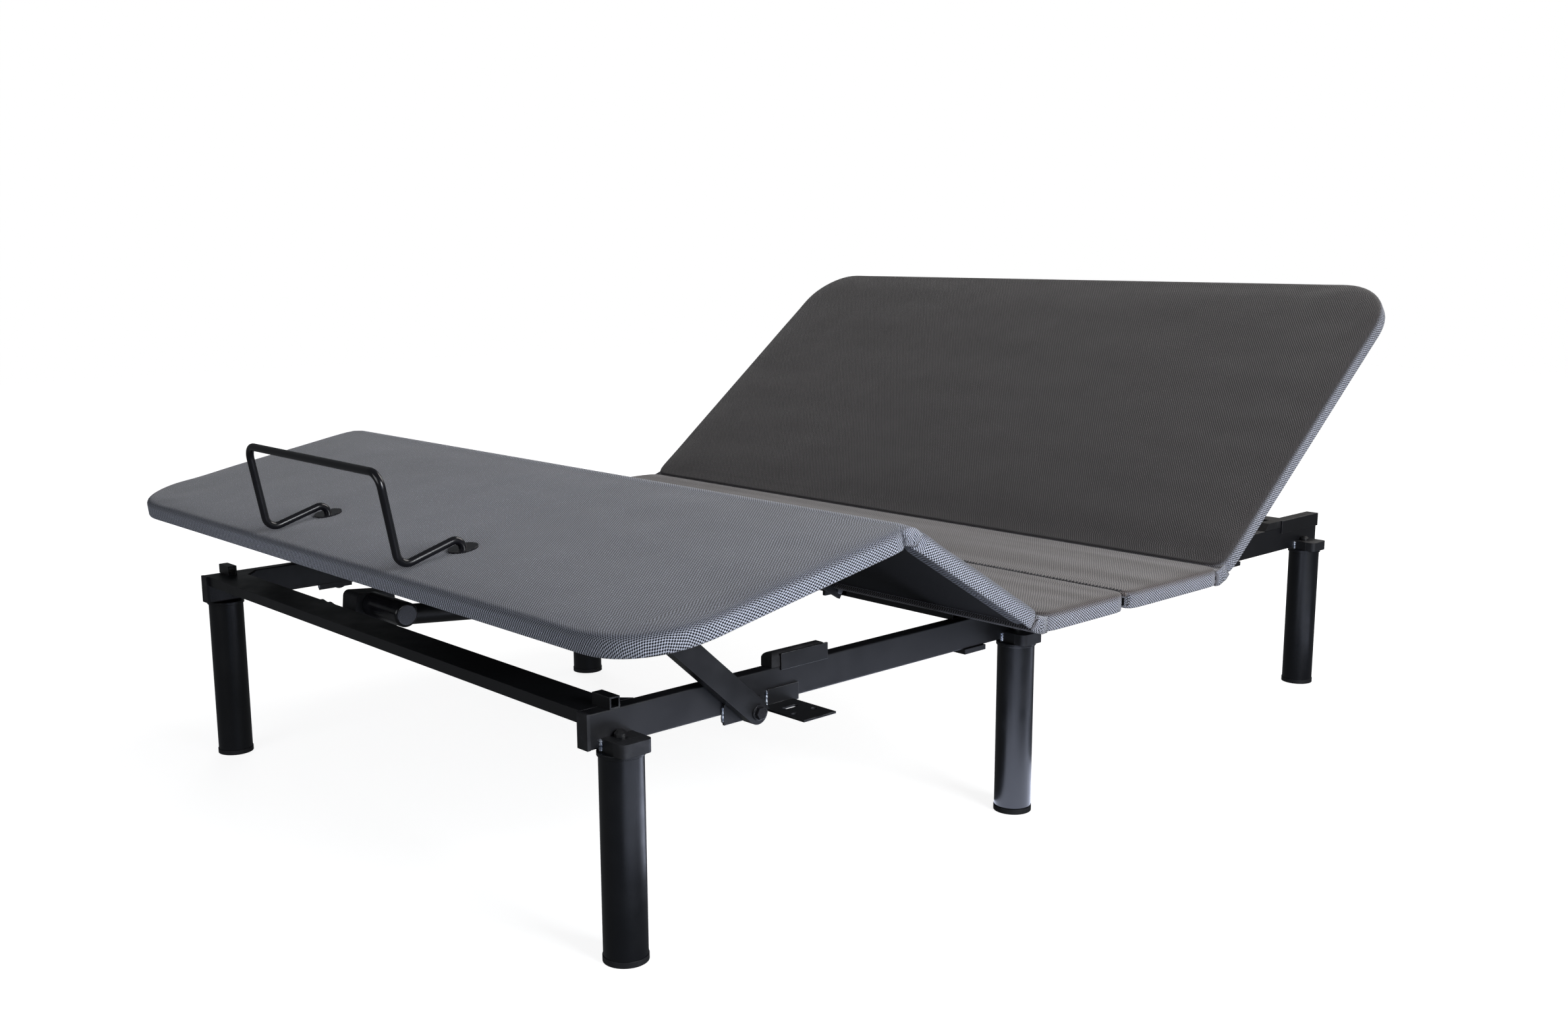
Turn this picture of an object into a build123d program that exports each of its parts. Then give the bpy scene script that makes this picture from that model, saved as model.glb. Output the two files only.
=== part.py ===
from build123d import *
import os
from math import atan2, cos, degrees, hypot, radians, sin

# Queen size adjustable bed base: five hinged deck panels on a split steel frame with six legs.
# Millimetres, Z up. X runs across the bed (right is +X), Y from the foot end to the head end.
# The origin is on the floor, under the middle of the base.
os.makedirs("parts", exist_ok=True)
SIDES = {"left": -1, "right": 1}

# ---- driving dimensions ---------------------------------------------------------------------
DECK_WIDTH = 1524
PAD_THICK = 30
PAD_TOP = 12
SKIRT = 12
HEM = 6
EDGE_RADIUS = 8
CORNER_RADIUS = 110
FOOT_LENGTH, THIGH_LENGTH, SEAT_LENGTH, HEAD_LENGTH = 465, 328, 494, 745
THIGH_GAP, KNEE_GAP, HEAD_GAP, SEAM_GAP, BOARD_GAP = 9, 0.7, 7, 1, 1
SEAM_Y = -30

DECK_BOTTOM = 354
THIGH_PIVOT = (0, -250, DECK_BOTTOM)
HEAD_PIVOT = (0, 244, DECK_BOTTOM + PAD_THICK / 2)
THIGH_ANGLE, FOOT_ANGLE, HEAD_ANGLE = 31, 10.5, 38.4

RAIL_WIDTH, RAIL_HEIGHT, RAIL_WALL = 22, 48, 2
RAIL_BOTTOM = 291
RAIL_TOP = RAIL_BOTTOM + RAIL_HEIGHT
FOOT_RAIL_X, HEAD_RAIL_X = 582, 516
FOOT_END_Y, FOOT_RAIL_END_Y, HEAD_RAIL_START_Y, HEAD_END_Y = -932, 12, -68, 1009.5
CAP_THICK = 5

LEG_RADIUS, LEG_WALL, LEG_OFFSET = 30, 2, 9
LEG_Y = {"foot": -891, "middle": -91, "head": 949}
LEG_FOOT_HEIGHT, LEG_FOOT_RADIUS = 8, 31
BRACKET_HEIGHT, BRACKET_LENGTH, BRACKET_REACH, BRACKET_CAP = 18, 50, 45, 19
BRACKET_TOP = 304
BRACKET_BOTTOM = BRACKET_TOP - BRACKET_HEIGHT
STUD_RADIUS, KNOB_RADIUS = 5, 8.8

TUBE_WIDTH, TUBE_HEIGHT = 20, 18
HINGE_X, LUG_THICK, LUG_SIDE = 330, 6, 13
HEAD_KNUCKLE, THIGH_KNUCKLE, KNEE_KNUCKLE = 6, 8, 5.5
PIN_RADIUS, KNEE_PIN_RADIUS, PIN_CLEARANCE = 4, 3, 0.06
SLIDE = 0.35

ARM_PIVOT = (-668, 291)
ARM_LENGTH, ARM_ANGLE = 235.573, 138.236
ARM_WIDTH, ARM_THICK, ARM_X = 35, 20, 586
ARM_TOP_ALONG, ARM_TOP_BELOW = -321, -16.81
ARM_TOP_HOLE = 10
ARM_LUG_X, ARM_LUG_RADIUS, ARM_BAR_WIDTH, ARM_BOLT = 611, 11, 40, 31
SEAT_TUBE_FOOT, SEAT_TUBE_HEAD = 571, 505
CONTROL_BOX_X, POWER_SUPPLY_X = -245, -400

LEG_ACTUATOR_X, HEAD_ACTUATOR_X = -240, 0
LEG_CLEVIS, HEAD_CLEVIS = (-845, 303), (-128, 292)
LEG_LEVER, LEG_LEVER_ANGLE = 110, 17
HEAD_LEVER, HEAD_LEVER_ANGLE = 100, -25
LEVER_X, LEVER_THICK, LEVER_TIP = 11, 5, 14
EYE_HALF = 8
LEG_SLOT, HEAD_SLOT = (9.8, 14.4), (14.4, 35.6)
CLEVIS_RADIUS, REAR_EYE, EYE_WALL = 12, 9, 9
GEARBOX_START, GEARBOX_END, GEARBOX_WIDTH, GEARBOX_LOW, GEARBOX_TOP = 14, 86, 46, -22, 46
MOTOR_RADIUS, MOTOR_LENGTH, MOTOR_ALONG, MOTOR_ABOVE = 21, 112, 46, 27
OUTER_RADIUS, ROD_RADIUS = 18, 10
LEG_OUTER_END, HEAD_OUTER_END = 500, 300

RETAINER_RADIUS, RETAINER_HALF, RETAINER_HEIGHT = 6, 204.5, 139
RETAINER_BEND = 17
RETAINER_Y = 121 - FOOT_LENGTH
RETAINER_ROOT, RETAINER_CREST = -4, 49
GROMMET_RADIUS, GROMMET_THICK, GROMMET_SLEEVE = 22, 3, 8.8

# ---- planes ---------------------------------------------------------------------------------


def hinged_plane(origin, tilt):
    """Plane whose y runs along a panel towards the head end, tilted up by tilt degrees."""
    return Plane(origin=origin, x_dir=(1, 0, 0), z_dir=(0, -sin(radians(tilt)), cos(radians(tilt))))


def side_plane(plane, x):
    """Plane across the bed at x: its x runs along the panel and its y up through it."""
    return Plane(origin=plane.from_local_coords((x, 0, 0)), x_dir=plane.y_dir, z_dir=plane.x_dir)


def link_plane(x, pivot, angle):
    """Plane across the bed at x whose x points along a link, angle degrees above the head end."""
    direction = (0, cos(radians(angle)), sin(radians(angle)))
    return Plane(origin=(x, *pivot), x_dir=direction, z_dir=(1, 0, 0))


thigh_plane = hinged_plane(THIGH_PIVOT, -THIGH_ANGLE)
foot_plane = hinged_plane(thigh_plane.from_local_coords((0, -THIGH_LENGTH, 0)), FOOT_ANGLE)
head_plane = hinged_plane(HEAD_PIVOT, HEAD_ANGLE)
head_underside = head_plane.offset(-PAD_THICK / 2)
seat_plane = Plane.XY.offset(DECK_BOTTOM)


def write_step(piece, name):
    piece.part.label = name
    export_step(piece.part, f"parts/{name}.step")


# ---- deck panels: a padded cover over a board, open underneath ------------------------------
POCKET_HEIGHT = PAD_THICK - PAD_TOP


def panel_plan(plane, start, end, inset, outer_end):
    """Plan of a panel; outer_end is low or high where its outer corners are round, or empty."""
    with BuildSketch(plane) as plan:
        with Locations((0, (start + end) / 2)):
            Rectangle(DECK_WIDTH - 2 * inset, end - start)
        if outer_end:
            corners = plan.vertices().group_by(Axis.Y)[0 if outer_end == "low" else -1]
            fillet(corners, CORNER_RADIUS - inset)
    return plan.sketch


def retainer_holes(plane, radius):
    """Sketch of the two holes that the mattress retainer passes through in the foot panel."""
    with BuildSketch(plane) as holes:
        with Locations(*[(side * RETAINER_HALF, RETAINER_Y) for side in SIDES.values()]):
            Circle(radius)
    return holes.sketch


def make_panel(name, plane, start, end, outer_end=""):
    """Cover and board of one panel, from y start to y end of its plane."""
    board_start = start + (SKIRT if outer_end == "low" else BOARD_GAP)
    board_end = end - (SKIRT if outer_end == "high" else BOARD_GAP)
    pocket_start = start + (SKIRT if outer_end == "low" else 0)
    pocket_end = end - (SKIRT if outer_end == "high" else 0)
    with BuildPart() as cover:
        extrude(panel_plan(plane, start, end, 0, outer_end), amount=PAD_THICK)
        top = cover.faces().sort_by(Axis(plane.origin, plane.z_dir))[-1]
        fillet(top.edges(), EDGE_RADIUS)
        pocket = panel_plan(plane, pocket_start, pocket_end, SKIRT, outer_end)
        extrude(pocket, amount=POCKET_HEIGHT, mode=Mode.SUBTRACT)
        if name == "foot":
            holes = retainer_holes(plane, GROMMET_SLEEVE + PIN_CLEARANCE)
            extrude(holes, amount=PAD_THICK, mode=Mode.SUBTRACT)
    write_step(cover, f"{name}_cover")
    with BuildPart() as board:
        plan = panel_plan(plane.offset(HEM), board_start, board_end, SKIRT, outer_end)
        extrude(plan, amount=POCKET_HEIGHT - HEM)
        if name == "foot":
            extrude(holes, amount=PAD_THICK, mode=Mode.SUBTRACT)
    write_step(board, f"{name}_board")


make_panel("foot", foot_plane, -FOOT_LENGTH, -KNEE_GAP, "low")
make_panel("thigh", thigh_plane, KNEE_GAP - THIGH_LENGTH, -THIGH_GAP)
make_panel("seat_foot_half", seat_plane, THIGH_PIVOT[1] + THIGH_GAP, SEAM_Y - SEAM_GAP)
make_panel("seat_head_half", seat_plane, SEAM_Y + SEAM_GAP, HEAD_PIVOT[1] - HEAD_GAP)
make_panel("head", head_underside, HEAD_GAP, HEAD_LENGTH, "high")

# ---- mattress retainer, its grommets ---------------------------------------------------------
retainer_side = [
    (RETAINER_HALF, RETAINER_Y, RETAINER_ROOT),
    (RETAINER_HALF, RETAINER_Y, RETAINER_CREST),
    (RETAINER_HALF, RETAINER_BEND - FOOT_LENGTH, PAD_THICK + RETAINER_RADIUS + 0.5),
    (RETAINER_HALF, RETAINER_BEND - FOOT_LENGTH, PAD_THICK + RETAINER_RADIUS + RETAINER_HEIGHT),
]
other_side = [(-x, y, z) for x, y, z in reversed(retainer_side)]
retainer_route = [foot_plane.from_local_coords(point) for point in retainer_side + other_side]
with BuildPart() as retainer:
    with BuildLine() as rod_line:
        FilletPolyline(*retainer_route, radius=[14, 18, 22, 22, 18, 14])
    with BuildSketch(Plane(origin=rod_line.line @ 0, z_dir=rod_line.line % 0)):
        Circle(RETAINER_RADIUS)
    sweep(path=rod_line.line)
write_step(retainer, "mattress_retainer")

with BuildPart() as grommets:
    extrude(retainer_holes(foot_plane.offset(PAD_THICK), GROMMET_RADIUS), amount=GROMMET_THICK)
    extrude(retainer_holes(foot_plane.offset(HEM), GROMMET_SLEEVE), amount=PAD_THICK - HEM)
    extrude(retainer_holes(foot_plane, RETAINER_RADIUS + SLIDE), amount=2 * PAD_THICK,
            mode=Mode.SUBTRACT)
write_step(grommets, "retainer_grommets")


# ---- frames under the panels -----------------------------------------------------------------
def ladder(plane, start, end, cross, low):
    """Two long tubes at the hinges, cross tubes at each (y, half length), one bore through all."""
    middle, height = (low + HEM) / 2, HEM - low
    bore_width, bore_height = TUBE_WIDTH - 2 * RAIL_WALL, height - 2 * RAIL_WALL
    long_places = [(side * HINGE_X, (start + end) / 2, middle) for side in SIDES.values()]
    with Locations(plane):
        with Locations(*long_places):
            Box(TUBE_WIDTH, end - start, height)
        for y, half in cross:
            with Locations((0, y, middle)):
                Box(2 * half, TUBE_WIDTH, height)
        with Locations(*long_places):
            Box(bore_width, end - start, bore_height, mode=Mode.SUBTRACT)
        for y, half in cross:
            with Locations((0, y, middle)):
                Box(2 * half, bore_width, bore_height, mode=Mode.SUBTRACT)


def hinge_lugs(plane, x, reach, low, high, knuckle, pin_radius):
    """Lugs at +x and -x: a bar along the tube, a stem and round knuckle at the plane's origin."""
    for side in SIDES.values():
        with BuildSketch(side_plane(plane, side * x)) as lug:
            with Locations((reach / 2, (low + high) / 2)):
                Rectangle(abs(reach), high - low)
            with Locations((0, low / 2)):
                Rectangle(2 * knuckle, -low)
            Circle(knuckle)
            Circle(pin_radius + PIN_CLEARANCE, mode=Mode.SUBTRACT)
        extrude(lug.sketch, amount=LUG_THICK / 2, both=True)


def hull_plates(plane, x_places, thick, root, root_size, tip, tip_radius):
    """Plates at each x: the hull of a box at root and a circle at tip, with a pin hole there."""
    for x in x_places:
        with BuildSketch(side_plane(plane, x)) as outline:
            with Locations(root):
                Rectangle(*root_size)
            with Locations(tip):
                Circle(tip_radius)
            make_hull()
            with Locations(tip):
                Circle(PIN_RADIUS + PIN_CLEARANCE, mode=Mode.SUBTRACT)
        extrude(outline.sketch, amount=thick / 2, both=True)


def fork_places(x):
    """Middles of the two plates of a fork that an actuator's eye turns in."""
    return [x + side * (LEVER_X + LEVER_THICK / 2) for side in SIDES.values()]


def lever_tip(length, angle):
    """Place of a lever's pin, angle degrees towards the head end from straight down."""
    return (length * sin(radians(angle)), -length * cos(radians(angle)))


FRAME_LOW = HEM - TUBE_HEIGHT
SEAT_LOW = RAIL_TOP - DECK_BOTTOM
HEAD_DROP = PAD_THICK / 2
tube_box = (TUBE_WIDTH, TUBE_HEIGHT)
thigh_tip = lever_tip(LEG_LEVER, LEG_LEVER_ANGLE)
head_tip = lever_tip(HEAD_LEVER, HEAD_LEVER_ANGLE)
arm_tip = (ARM_TOP_ALONG, ARM_TOP_BELOW)
knee_of_thigh = Plane(origin=foot_plane.origin, x_dir=(1, 0, 0), z_dir=thigh_plane.z_dir)
thigh_hinge = Plane(origin=THIGH_PIVOT)
head_hinge = Plane(origin=HEAD_PIVOT)

with BuildPart() as head_frame:
    ladder(head_underside, 26, 600, [(60, HINGE_X), (330, HINGE_X), (590, HINGE_X)], FRAME_LOW)
    hinge_lugs(head_plane, HINGE_X + LUG_SIDE, 70, FRAME_LOW - HEAD_DROP, -HEAD_DROP - 1,
               HEAD_KNUCKLE, PIN_RADIUS)
    hull_plates(head_plane, fork_places(HEAD_ACTUATOR_X), LEVER_THICK,
                (60, FRAME_LOW - HEAD_DROP + TUBE_HEIGHT / 2), tube_box, head_tip, LEVER_TIP)
write_step(head_frame, "head_lift_frame")

with BuildPart() as thigh_frame:
    ladder(thigh_plane, -298, -30, [(-60, HINGE_X), (-278, HINGE_X)], FRAME_LOW)
    hinge_lugs(thigh_plane, HINGE_X + LUG_SIDE, -50, FRAME_LOW, -0.5, THIGH_KNUCKLE, PIN_RADIUS)
    hinge_lugs(knee_of_thigh, HINGE_X - LUG_SIDE, 50, FRAME_LOW, -0.5, KNEE_KNUCKLE,
               KNEE_PIN_RADIUS)
    hull_plates(thigh_plane, fork_places(LEG_ACTUATOR_X), LEVER_THICK,
                (-60, FRAME_LOW + TUBE_HEIGHT / 2), tube_box, thigh_tip, LEVER_TIP)
write_step(thigh_frame, "thigh_lift_frame")

with BuildPart() as foot_frame:
    ladder(foot_plane, -440, -30, [(-60, HINGE_X), (-280, HINGE_X), (-430, HINGE_X)], FRAME_LOW)
    hinge_lugs(foot_plane, HINGE_X + LUG_SIDE, -50, FRAME_LOW, -0.5, KNEE_KNUCKLE,
               KNEE_PIN_RADIUS)
    arm_bar_length = ARM_LUG_X - HINGE_X
    with Locations(foot_plane):
        with Locations(*[(side * (HINGE_X + arm_bar_length / 2), -280, HEM / 2)
                         for side in SIDES.values()]):
            Box(arm_bar_length, ARM_BAR_WIDTH, HEM)
    hull_plates(foot_plane, (-ARM_LUG_X, ARM_LUG_X), LUG_THICK, (-280, HEM / 2),
                (ARM_BAR_WIDTH, HEM), arm_tip, ARM_LUG_RADIUS)
write_step(foot_frame, "foot_frame")

with BuildPart() as seat_foot_frame:
    ladder(seat_plane, -226, -36, [(-216, SEAT_TUBE_FOOT), (-128, HINGE_X), (-46, SEAT_TUBE_FOOT)],
           SEAT_LOW)
    hinge_lugs(thigh_hinge, HINGE_X - LUG_SIDE, 50, FRAME_LOW, -0.5, THIGH_KNUCKLE, PIN_RADIUS)
    hull_plates(Plane.XY, fork_places(HEAD_ACTUATOR_X), LEVER_THICK, (-128, RAIL_TOP - 2),
                (TUBE_WIDTH, 4), HEAD_CLEVIS, CLEVIS_RADIUS)
write_step(seat_foot_frame, "seat_frame_foot_half")

with BuildPart() as seat_head_frame:
    ladder(seat_plane, -24, 226, [(-14, SEAT_TUBE_HEAD), (170, SEAT_TUBE_HEAD)], SEAT_LOW)
    hinge_lugs(head_hinge, HINGE_X - LUG_SIDE, -70, FRAME_LOW - HEAD_DROP, -HEAD_DROP - 1,
               HEAD_KNUCKLE, PIN_RADIUS)
write_step(seat_head_frame, "seat_frame_head_half")


# ---- side rails and cross beams --------------------------------------------------------------
def bolt_holes(x, places, radius):
    """Holes across the bed through what stands at x, at each (y, z)."""
    with BuildSketch(side_plane(Plane.XY, x)) as holes:
        with Locations(*places):
            Circle(radius)
    extrude(holes.sketch, amount=RAIL_HEIGHT, both=True, mode=Mode.SUBTRACT)


def tube_section(x, y, width, height):
    """Rectangle standing across Y, centred on (x, middle of the rail's height)."""
    middle = (x, y, RAIL_BOTTOM + RAIL_HEIGHT / 2)
    with BuildSketch(Plane(origin=middle, x_dir=(1, 0, 0), z_dir=(0, 1, 0))) as section:
        Rectangle(width, height)
    return section.sketch


SPLICE_BOLTS = [(-44, 315), (-12, 315)]
rail_runs = {"foot": (FOOT_RAIL_X, FOOT_END_Y, FOOT_RAIL_END_Y),
             "head": (HEAD_RAIL_X, HEAD_RAIL_START_Y, HEAD_END_Y - CAP_THICK)}
for side_name, side in SIDES.items():
    for half, (outer_x, start, end) in rail_runs.items():
        middle_x = side * (outer_x - RAIL_WIDTH / 2)
        with BuildPart() as rail:
            extrude(tube_section(middle_x, start, RAIL_WIDTH, RAIL_HEIGHT), amount=end - start)
            long_edges = rail.edges().filter_by(Axis.Y)
            fillet(long_edges, RAIL_WALL)
            bore = tube_section(middle_x, start, RAIL_WIDTH - 2 * RAIL_WALL,
                                RAIL_HEIGHT - 2 * RAIL_WALL)
            extrude(bore, amount=end - start, mode=Mode.SUBTRACT)
            bolt_holes(middle_x, SPLICE_BOLTS, STUD_RADIUS + PIN_CLEARANCE)
        write_step(rail, f"{side_name}_rail_{half}_half")

with BuildPart() as splice_blocks:
    for side in SIDES.values():
        block_x = side * (FOOT_RAIL_X - RAIL_WIDTH + HEAD_RAIL_X) / 2
        with Locations((block_x, (HEAD_RAIL_START_Y + FOOT_RAIL_END_Y) / 2, SPLICE_BOLTS[0][1])):
            Box(FOOT_RAIL_X - RAIL_WIDTH - HEAD_RAIL_X, 60, 38)
        bolt_holes(block_x, SPLICE_BOLTS, STUD_RADIUS + PIN_CLEARANCE)
write_step(splice_blocks, "rail_splice_blocks")

with BuildPart() as frame_bolts:
    for side in SIDES.values():
        inner_x, outer_x = side * (HEAD_RAIL_X - RAIL_WIDTH), side * FOOT_RAIL_X
        for start_x, length, radius in ((inner_x, outer_x - inner_x, STUD_RADIUS),
                                        (inner_x, -side * 5, 8), (outer_x, side * 5, 8)):
            with BuildSketch(side_plane(Plane.XY, start_x)):
                with Locations(*SPLICE_BOLTS):
                    if radius == STUD_RADIUS:
                        Circle(radius)
                    else:
                        RegularPolygon(radius, 6)
            extrude(amount=length)
        for start_x, length, radius in ((FOOT_RAIL_X, ARM_BOLT, STUD_RADIUS),
                                        (ARM_X + ARM_THICK + 0.4, 2, 11)):
            with BuildSketch(side_plane(Plane.XY, side * start_x)):
                with Locations(ARM_PIVOT):
                    Circle(radius)
            extrude(amount=side * length)
        with BuildSketch(side_plane(Plane.XY, side * (ARM_X + ARM_THICK + 2.4))):
            with Locations(ARM_PIVOT):
                RegularPolygon(9, 6)
        extrude(amount=side * 6)
write_step(frame_bolts, "frame_bolts")

INNER_X = FOOT_RAIL_X - RAIL_WIDTH
BEAM_LENGTH, BEAM_HEIGHT, BEAM_WALL, GUSSET = 60, 17, 2, 26
beam_back_y = FOOT_END_Y + BEAM_LENGTH
with BuildPart() as foot_beam:
    with Locations((0, FOOT_END_Y + BEAM_LENGTH / 2, RAIL_TOP - BEAM_HEIGHT / 2)):
        Box(2 * INNER_X, BEAM_LENGTH, BEAM_HEIGHT)
        Box(2 * INNER_X, BEAM_LENGTH - 2 * BEAM_WALL, BEAM_HEIGHT - 2 * BEAM_WALL,
            mode=Mode.SUBTRACT)
    with BuildSketch(Plane.XY.offset(RAIL_TOP - 4)):
        for side in SIDES.values():
            with BuildLine():
                Polyline((side * INNER_X, beam_back_y), (side * (INNER_X - GUSSET), beam_back_y),
                         (side * INNER_X, beam_back_y + GUSSET), close=True)
            make_face()
    extrude(amount=4)
    hull_plates(Plane.XY, fork_places(LEG_ACTUATOR_X), LEVER_THICK,
                (beam_back_y + 2, RAIL_TOP - BEAM_HEIGHT / 2), (4, BEAM_HEIGHT), LEG_CLEVIS,
                CLEVIS_RADIUS)
write_step(foot_beam, "foot_crossbeam")

HEAD_BEAM_Y, HEAD_BEAM_LENGTH, HEAD_BEAM_HEIGHT = 950, 40, 25
with BuildPart() as head_beam:
    with Locations((0, HEAD_BEAM_Y, RAIL_TOP - HEAD_BEAM_HEIGHT / 2)):
        Box(2 * (HEAD_RAIL_X - RAIL_WIDTH), HEAD_BEAM_LENGTH, HEAD_BEAM_HEIGHT)
        Box(2 * (HEAD_RAIL_X - RAIL_WIDTH), HEAD_BEAM_LENGTH - 2 * BEAM_WALL,
            HEAD_BEAM_HEIGHT - 2 * BEAM_WALL,
            mode=Mode.SUBTRACT)
write_step(head_beam, "head_crossbeam")

# ---- legs, their brackets and bolts ----------------------------------------------------------
leg_places = {(side_name, end): (side * (outer_x + LEG_OFFSET), LEG_Y[end])
              for side_name, side in SIDES.items()
              for end, outer_x in (("foot", FOOT_RAIL_X), ("middle", FOOT_RAIL_X),
                                   ("head", HEAD_RAIL_X))}
LEG_PLATE, COLLAR_HEIGHT = 8, 5
for (side_name, end), (x, y) in leg_places.items():
    with BuildPart() as leg:
        with BuildSketch(Plane.XY.offset(LEG_FOOT_HEIGHT)):
            with Locations((x, y)):
                Circle(LEG_RADIUS)
        extrude(amount=BRACKET_BOTTOM - LEG_FOOT_HEIGHT)
        with BuildSketch(Plane.XY.offset(BRACKET_BOTTOM - COLLAR_HEIGHT)):
            with Locations((x, y)):
                Circle(LEG_RADIUS + 2)
        extrude(amount=COLLAR_HEIGHT)
        with BuildSketch(Plane.XY.offset(LEG_FOOT_HEIGHT)):
            with Locations((x, y)):
                Circle(LEG_RADIUS - LEG_WALL)
        extrude(amount=BRACKET_BOTTOM - LEG_FOOT_HEIGHT - LEG_PLATE, mode=Mode.SUBTRACT)
        with Locations((x, y, BRACKET_BOTTOM)):
            Hole(STUD_RADIUS + PIN_CLEARANCE, depth=2 * LEG_PLATE)
    write_step(leg, f"{side_name}_{end}_leg")

with BuildPart() as leg_feet:
    for x, y in leg_places.values():
        with Locations((x, y, LEG_FOOT_HEIGHT / 2)):
            Cylinder(LEG_FOOT_RADIUS, LEG_FOOT_HEIGHT)
write_step(leg_feet, "leg_foot_caps")

with BuildPart() as leg_brackets:
    for x, y in leg_places.values():
        side = 1 if x > 0 else -1
        steel = BRACKET_REACH - BRACKET_CAP
        middle = (x + side * (steel / 2 - LEG_OFFSET), y, BRACKET_TOP - BRACKET_HEIGHT / 2)
        with Locations(middle):
            Box(steel, BRACKET_LENGTH, BRACKET_HEIGHT)
            Box(steel, BRACKET_LENGTH - 5, BRACKET_HEIGHT - 5, mode=Mode.SUBTRACT)
        with Locations((x, y, BRACKET_TOP)):
            Hole(STUD_RADIUS + PIN_CLEARANCE, depth=BRACKET_HEIGHT)
write_step(leg_brackets, "leg_brackets")

with BuildPart() as end_caps:
    for x, y in leg_places.values():
        side = 1 if x > 0 else -1
        cap_start = x + side * (BRACKET_REACH - BRACKET_CAP - LEG_OFFSET)
        with Locations((cap_start + side * BRACKET_CAP / 2, y, BRACKET_TOP - BRACKET_HEIGHT / 2)):
            Box(BRACKET_CAP, BRACKET_LENGTH, BRACKET_HEIGHT)
    outer_edges = end_caps.edges().filter_by(Axis.Z)
    fillet([edge for edge in outer_edges
            if abs(edge.center().X) in (FOOT_RAIL_X + BRACKET_REACH, HEAD_RAIL_X + BRACKET_REACH)],
           9)
    for side in SIDES.values():
        for outer_x, cap_y, outward in ((FOOT_RAIL_X, FOOT_END_Y, -1),
                                        (HEAD_RAIL_X, HEAD_END_Y - CAP_THICK, 1)):
            section = tube_section(side * (outer_x - RAIL_WIDTH / 2), cap_y, RAIL_WIDTH,
                                   RAIL_HEIGHT)
            extrude(section, amount=outward * CAP_THICK)
write_step(end_caps, "plastic_end_caps")

with BuildPart() as leg_knobs:
    for x, y in leg_places.values():
        with Locations((x, y, BRACKET_TOP - 21)):
            Cylinder(STUD_RADIUS, 42)
        with Locations((x, y, BRACKET_TOP + 2)):
            Cylinder(KNOB_RADIUS, 4)
        with BuildSketch(Plane.XY.offset(BRACKET_TOP + 4)):
            with Locations((x, y)):
                Circle(KNOB_RADIUS)
        extrude(amount=4, taper=45)
write_step(leg_knobs, "leg_bolts")

# ---- stops, bumpers, brackets on the rails -----------------------------------------------------
STOP, STOP_LENGTH, STOP_Y, STOP_OUTER = 16, 38, -894, 584
with BuildPart() as deck_stops:
    with Locations(*[(side * (STOP_OUTER - STOP_LENGTH / 2), STOP_Y, RAIL_TOP + STOP / 2)
                     for side in SIDES.values()]):
        Box(STOP_LENGTH, STOP, STOP)
        Box(STOP_LENGTH, STOP - 4, STOP - 4, mode=Mode.SUBTRACT)
write_step(deck_stops, "deck_stops")

BUMPER_Y, BUMPER_LENGTH, BUMPER_HEIGHT = -567.5, 107, 20.4
with BuildPart() as bumpers:
    with Locations(*[(side * (FOOT_RAIL_X - RAIL_WIDTH / 2), BUMPER_Y, RAIL_TOP + BUMPER_HEIGHT / 2)
                     for side in SIDES.values()]):
        Box(RAIL_WIDTH, BUMPER_LENGTH, BUMPER_HEIGHT)
    fillet(bumpers.faces().filter_by(Axis.Z).group_by(Axis.Z)[-1].edges(), 9)
write_step(bumpers, "rubber_bumpers")

PLATE = 3
BUMPER_TAB, BUMPER_TAB_AT = (91, 24), (-559.5, 346)
SHELF_WEB, SHELF_WEB_AT = (59, 25), (-601.5, 298.5)
SHELF_REACH, SHELF_LENGTH, SHELF_Y, SHELF_LOW = 86, 61, -613.5, 286
SHELF_HOLE_X, SHELF_HOLES_Y, SHELF_HOLE_RADIUS = 640, (-632, -595), 4.5
SHELF_SLOT_X, SHELF_SLOT = 612, (26, 9)
with BuildPart() as rail_brackets:
    for side in SIDES.values():
        for (length, height), (y, z) in ((BUMPER_TAB, BUMPER_TAB_AT), (SHELF_WEB, SHELF_WEB_AT)):
            with Locations((side * (FOOT_RAIL_X + PLATE / 2), y, z)):
                Box(PLATE, length, height)
        with Locations((side * (FOOT_RAIL_X + PLATE + SHELF_REACH / 2), SHELF_Y,
                        SHELF_LOW + PLATE / 2)):
            Box(SHELF_REACH, SHELF_LENGTH, PLATE)
    with BuildSketch(Plane.XY.offset(SHELF_LOW)):
        with Locations(*[(side * SHELF_HOLE_X, y) for side in SIDES.values()
                         for y in SHELF_HOLES_Y]):
            Circle(SHELF_HOLE_RADIUS)
        with Locations(*[(side * SHELF_SLOT_X, SHELF_Y) for side in SIDES.values()]):
            SlotOverall(*SHELF_SLOT, rotation=90)
    extrude(amount=PLATE, mode=Mode.SUBTRACT)
write_step(rail_brackets, "rail_brackets")

with BuildPart() as saddles:
    with Locations(*[(side * (outer_x - RAIL_WIDTH / 2), y, RAIL_BOTTOM - 4)
                     for side in SIDES.values()
                     for outer_x, y in ((FOOT_RAIL_X, -185.5), (HEAD_RAIL_X, 684.5))]):
        Box(RAIL_WIDTH + 6, 50, 8)
write_step(saddles, "rail_saddles")

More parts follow.
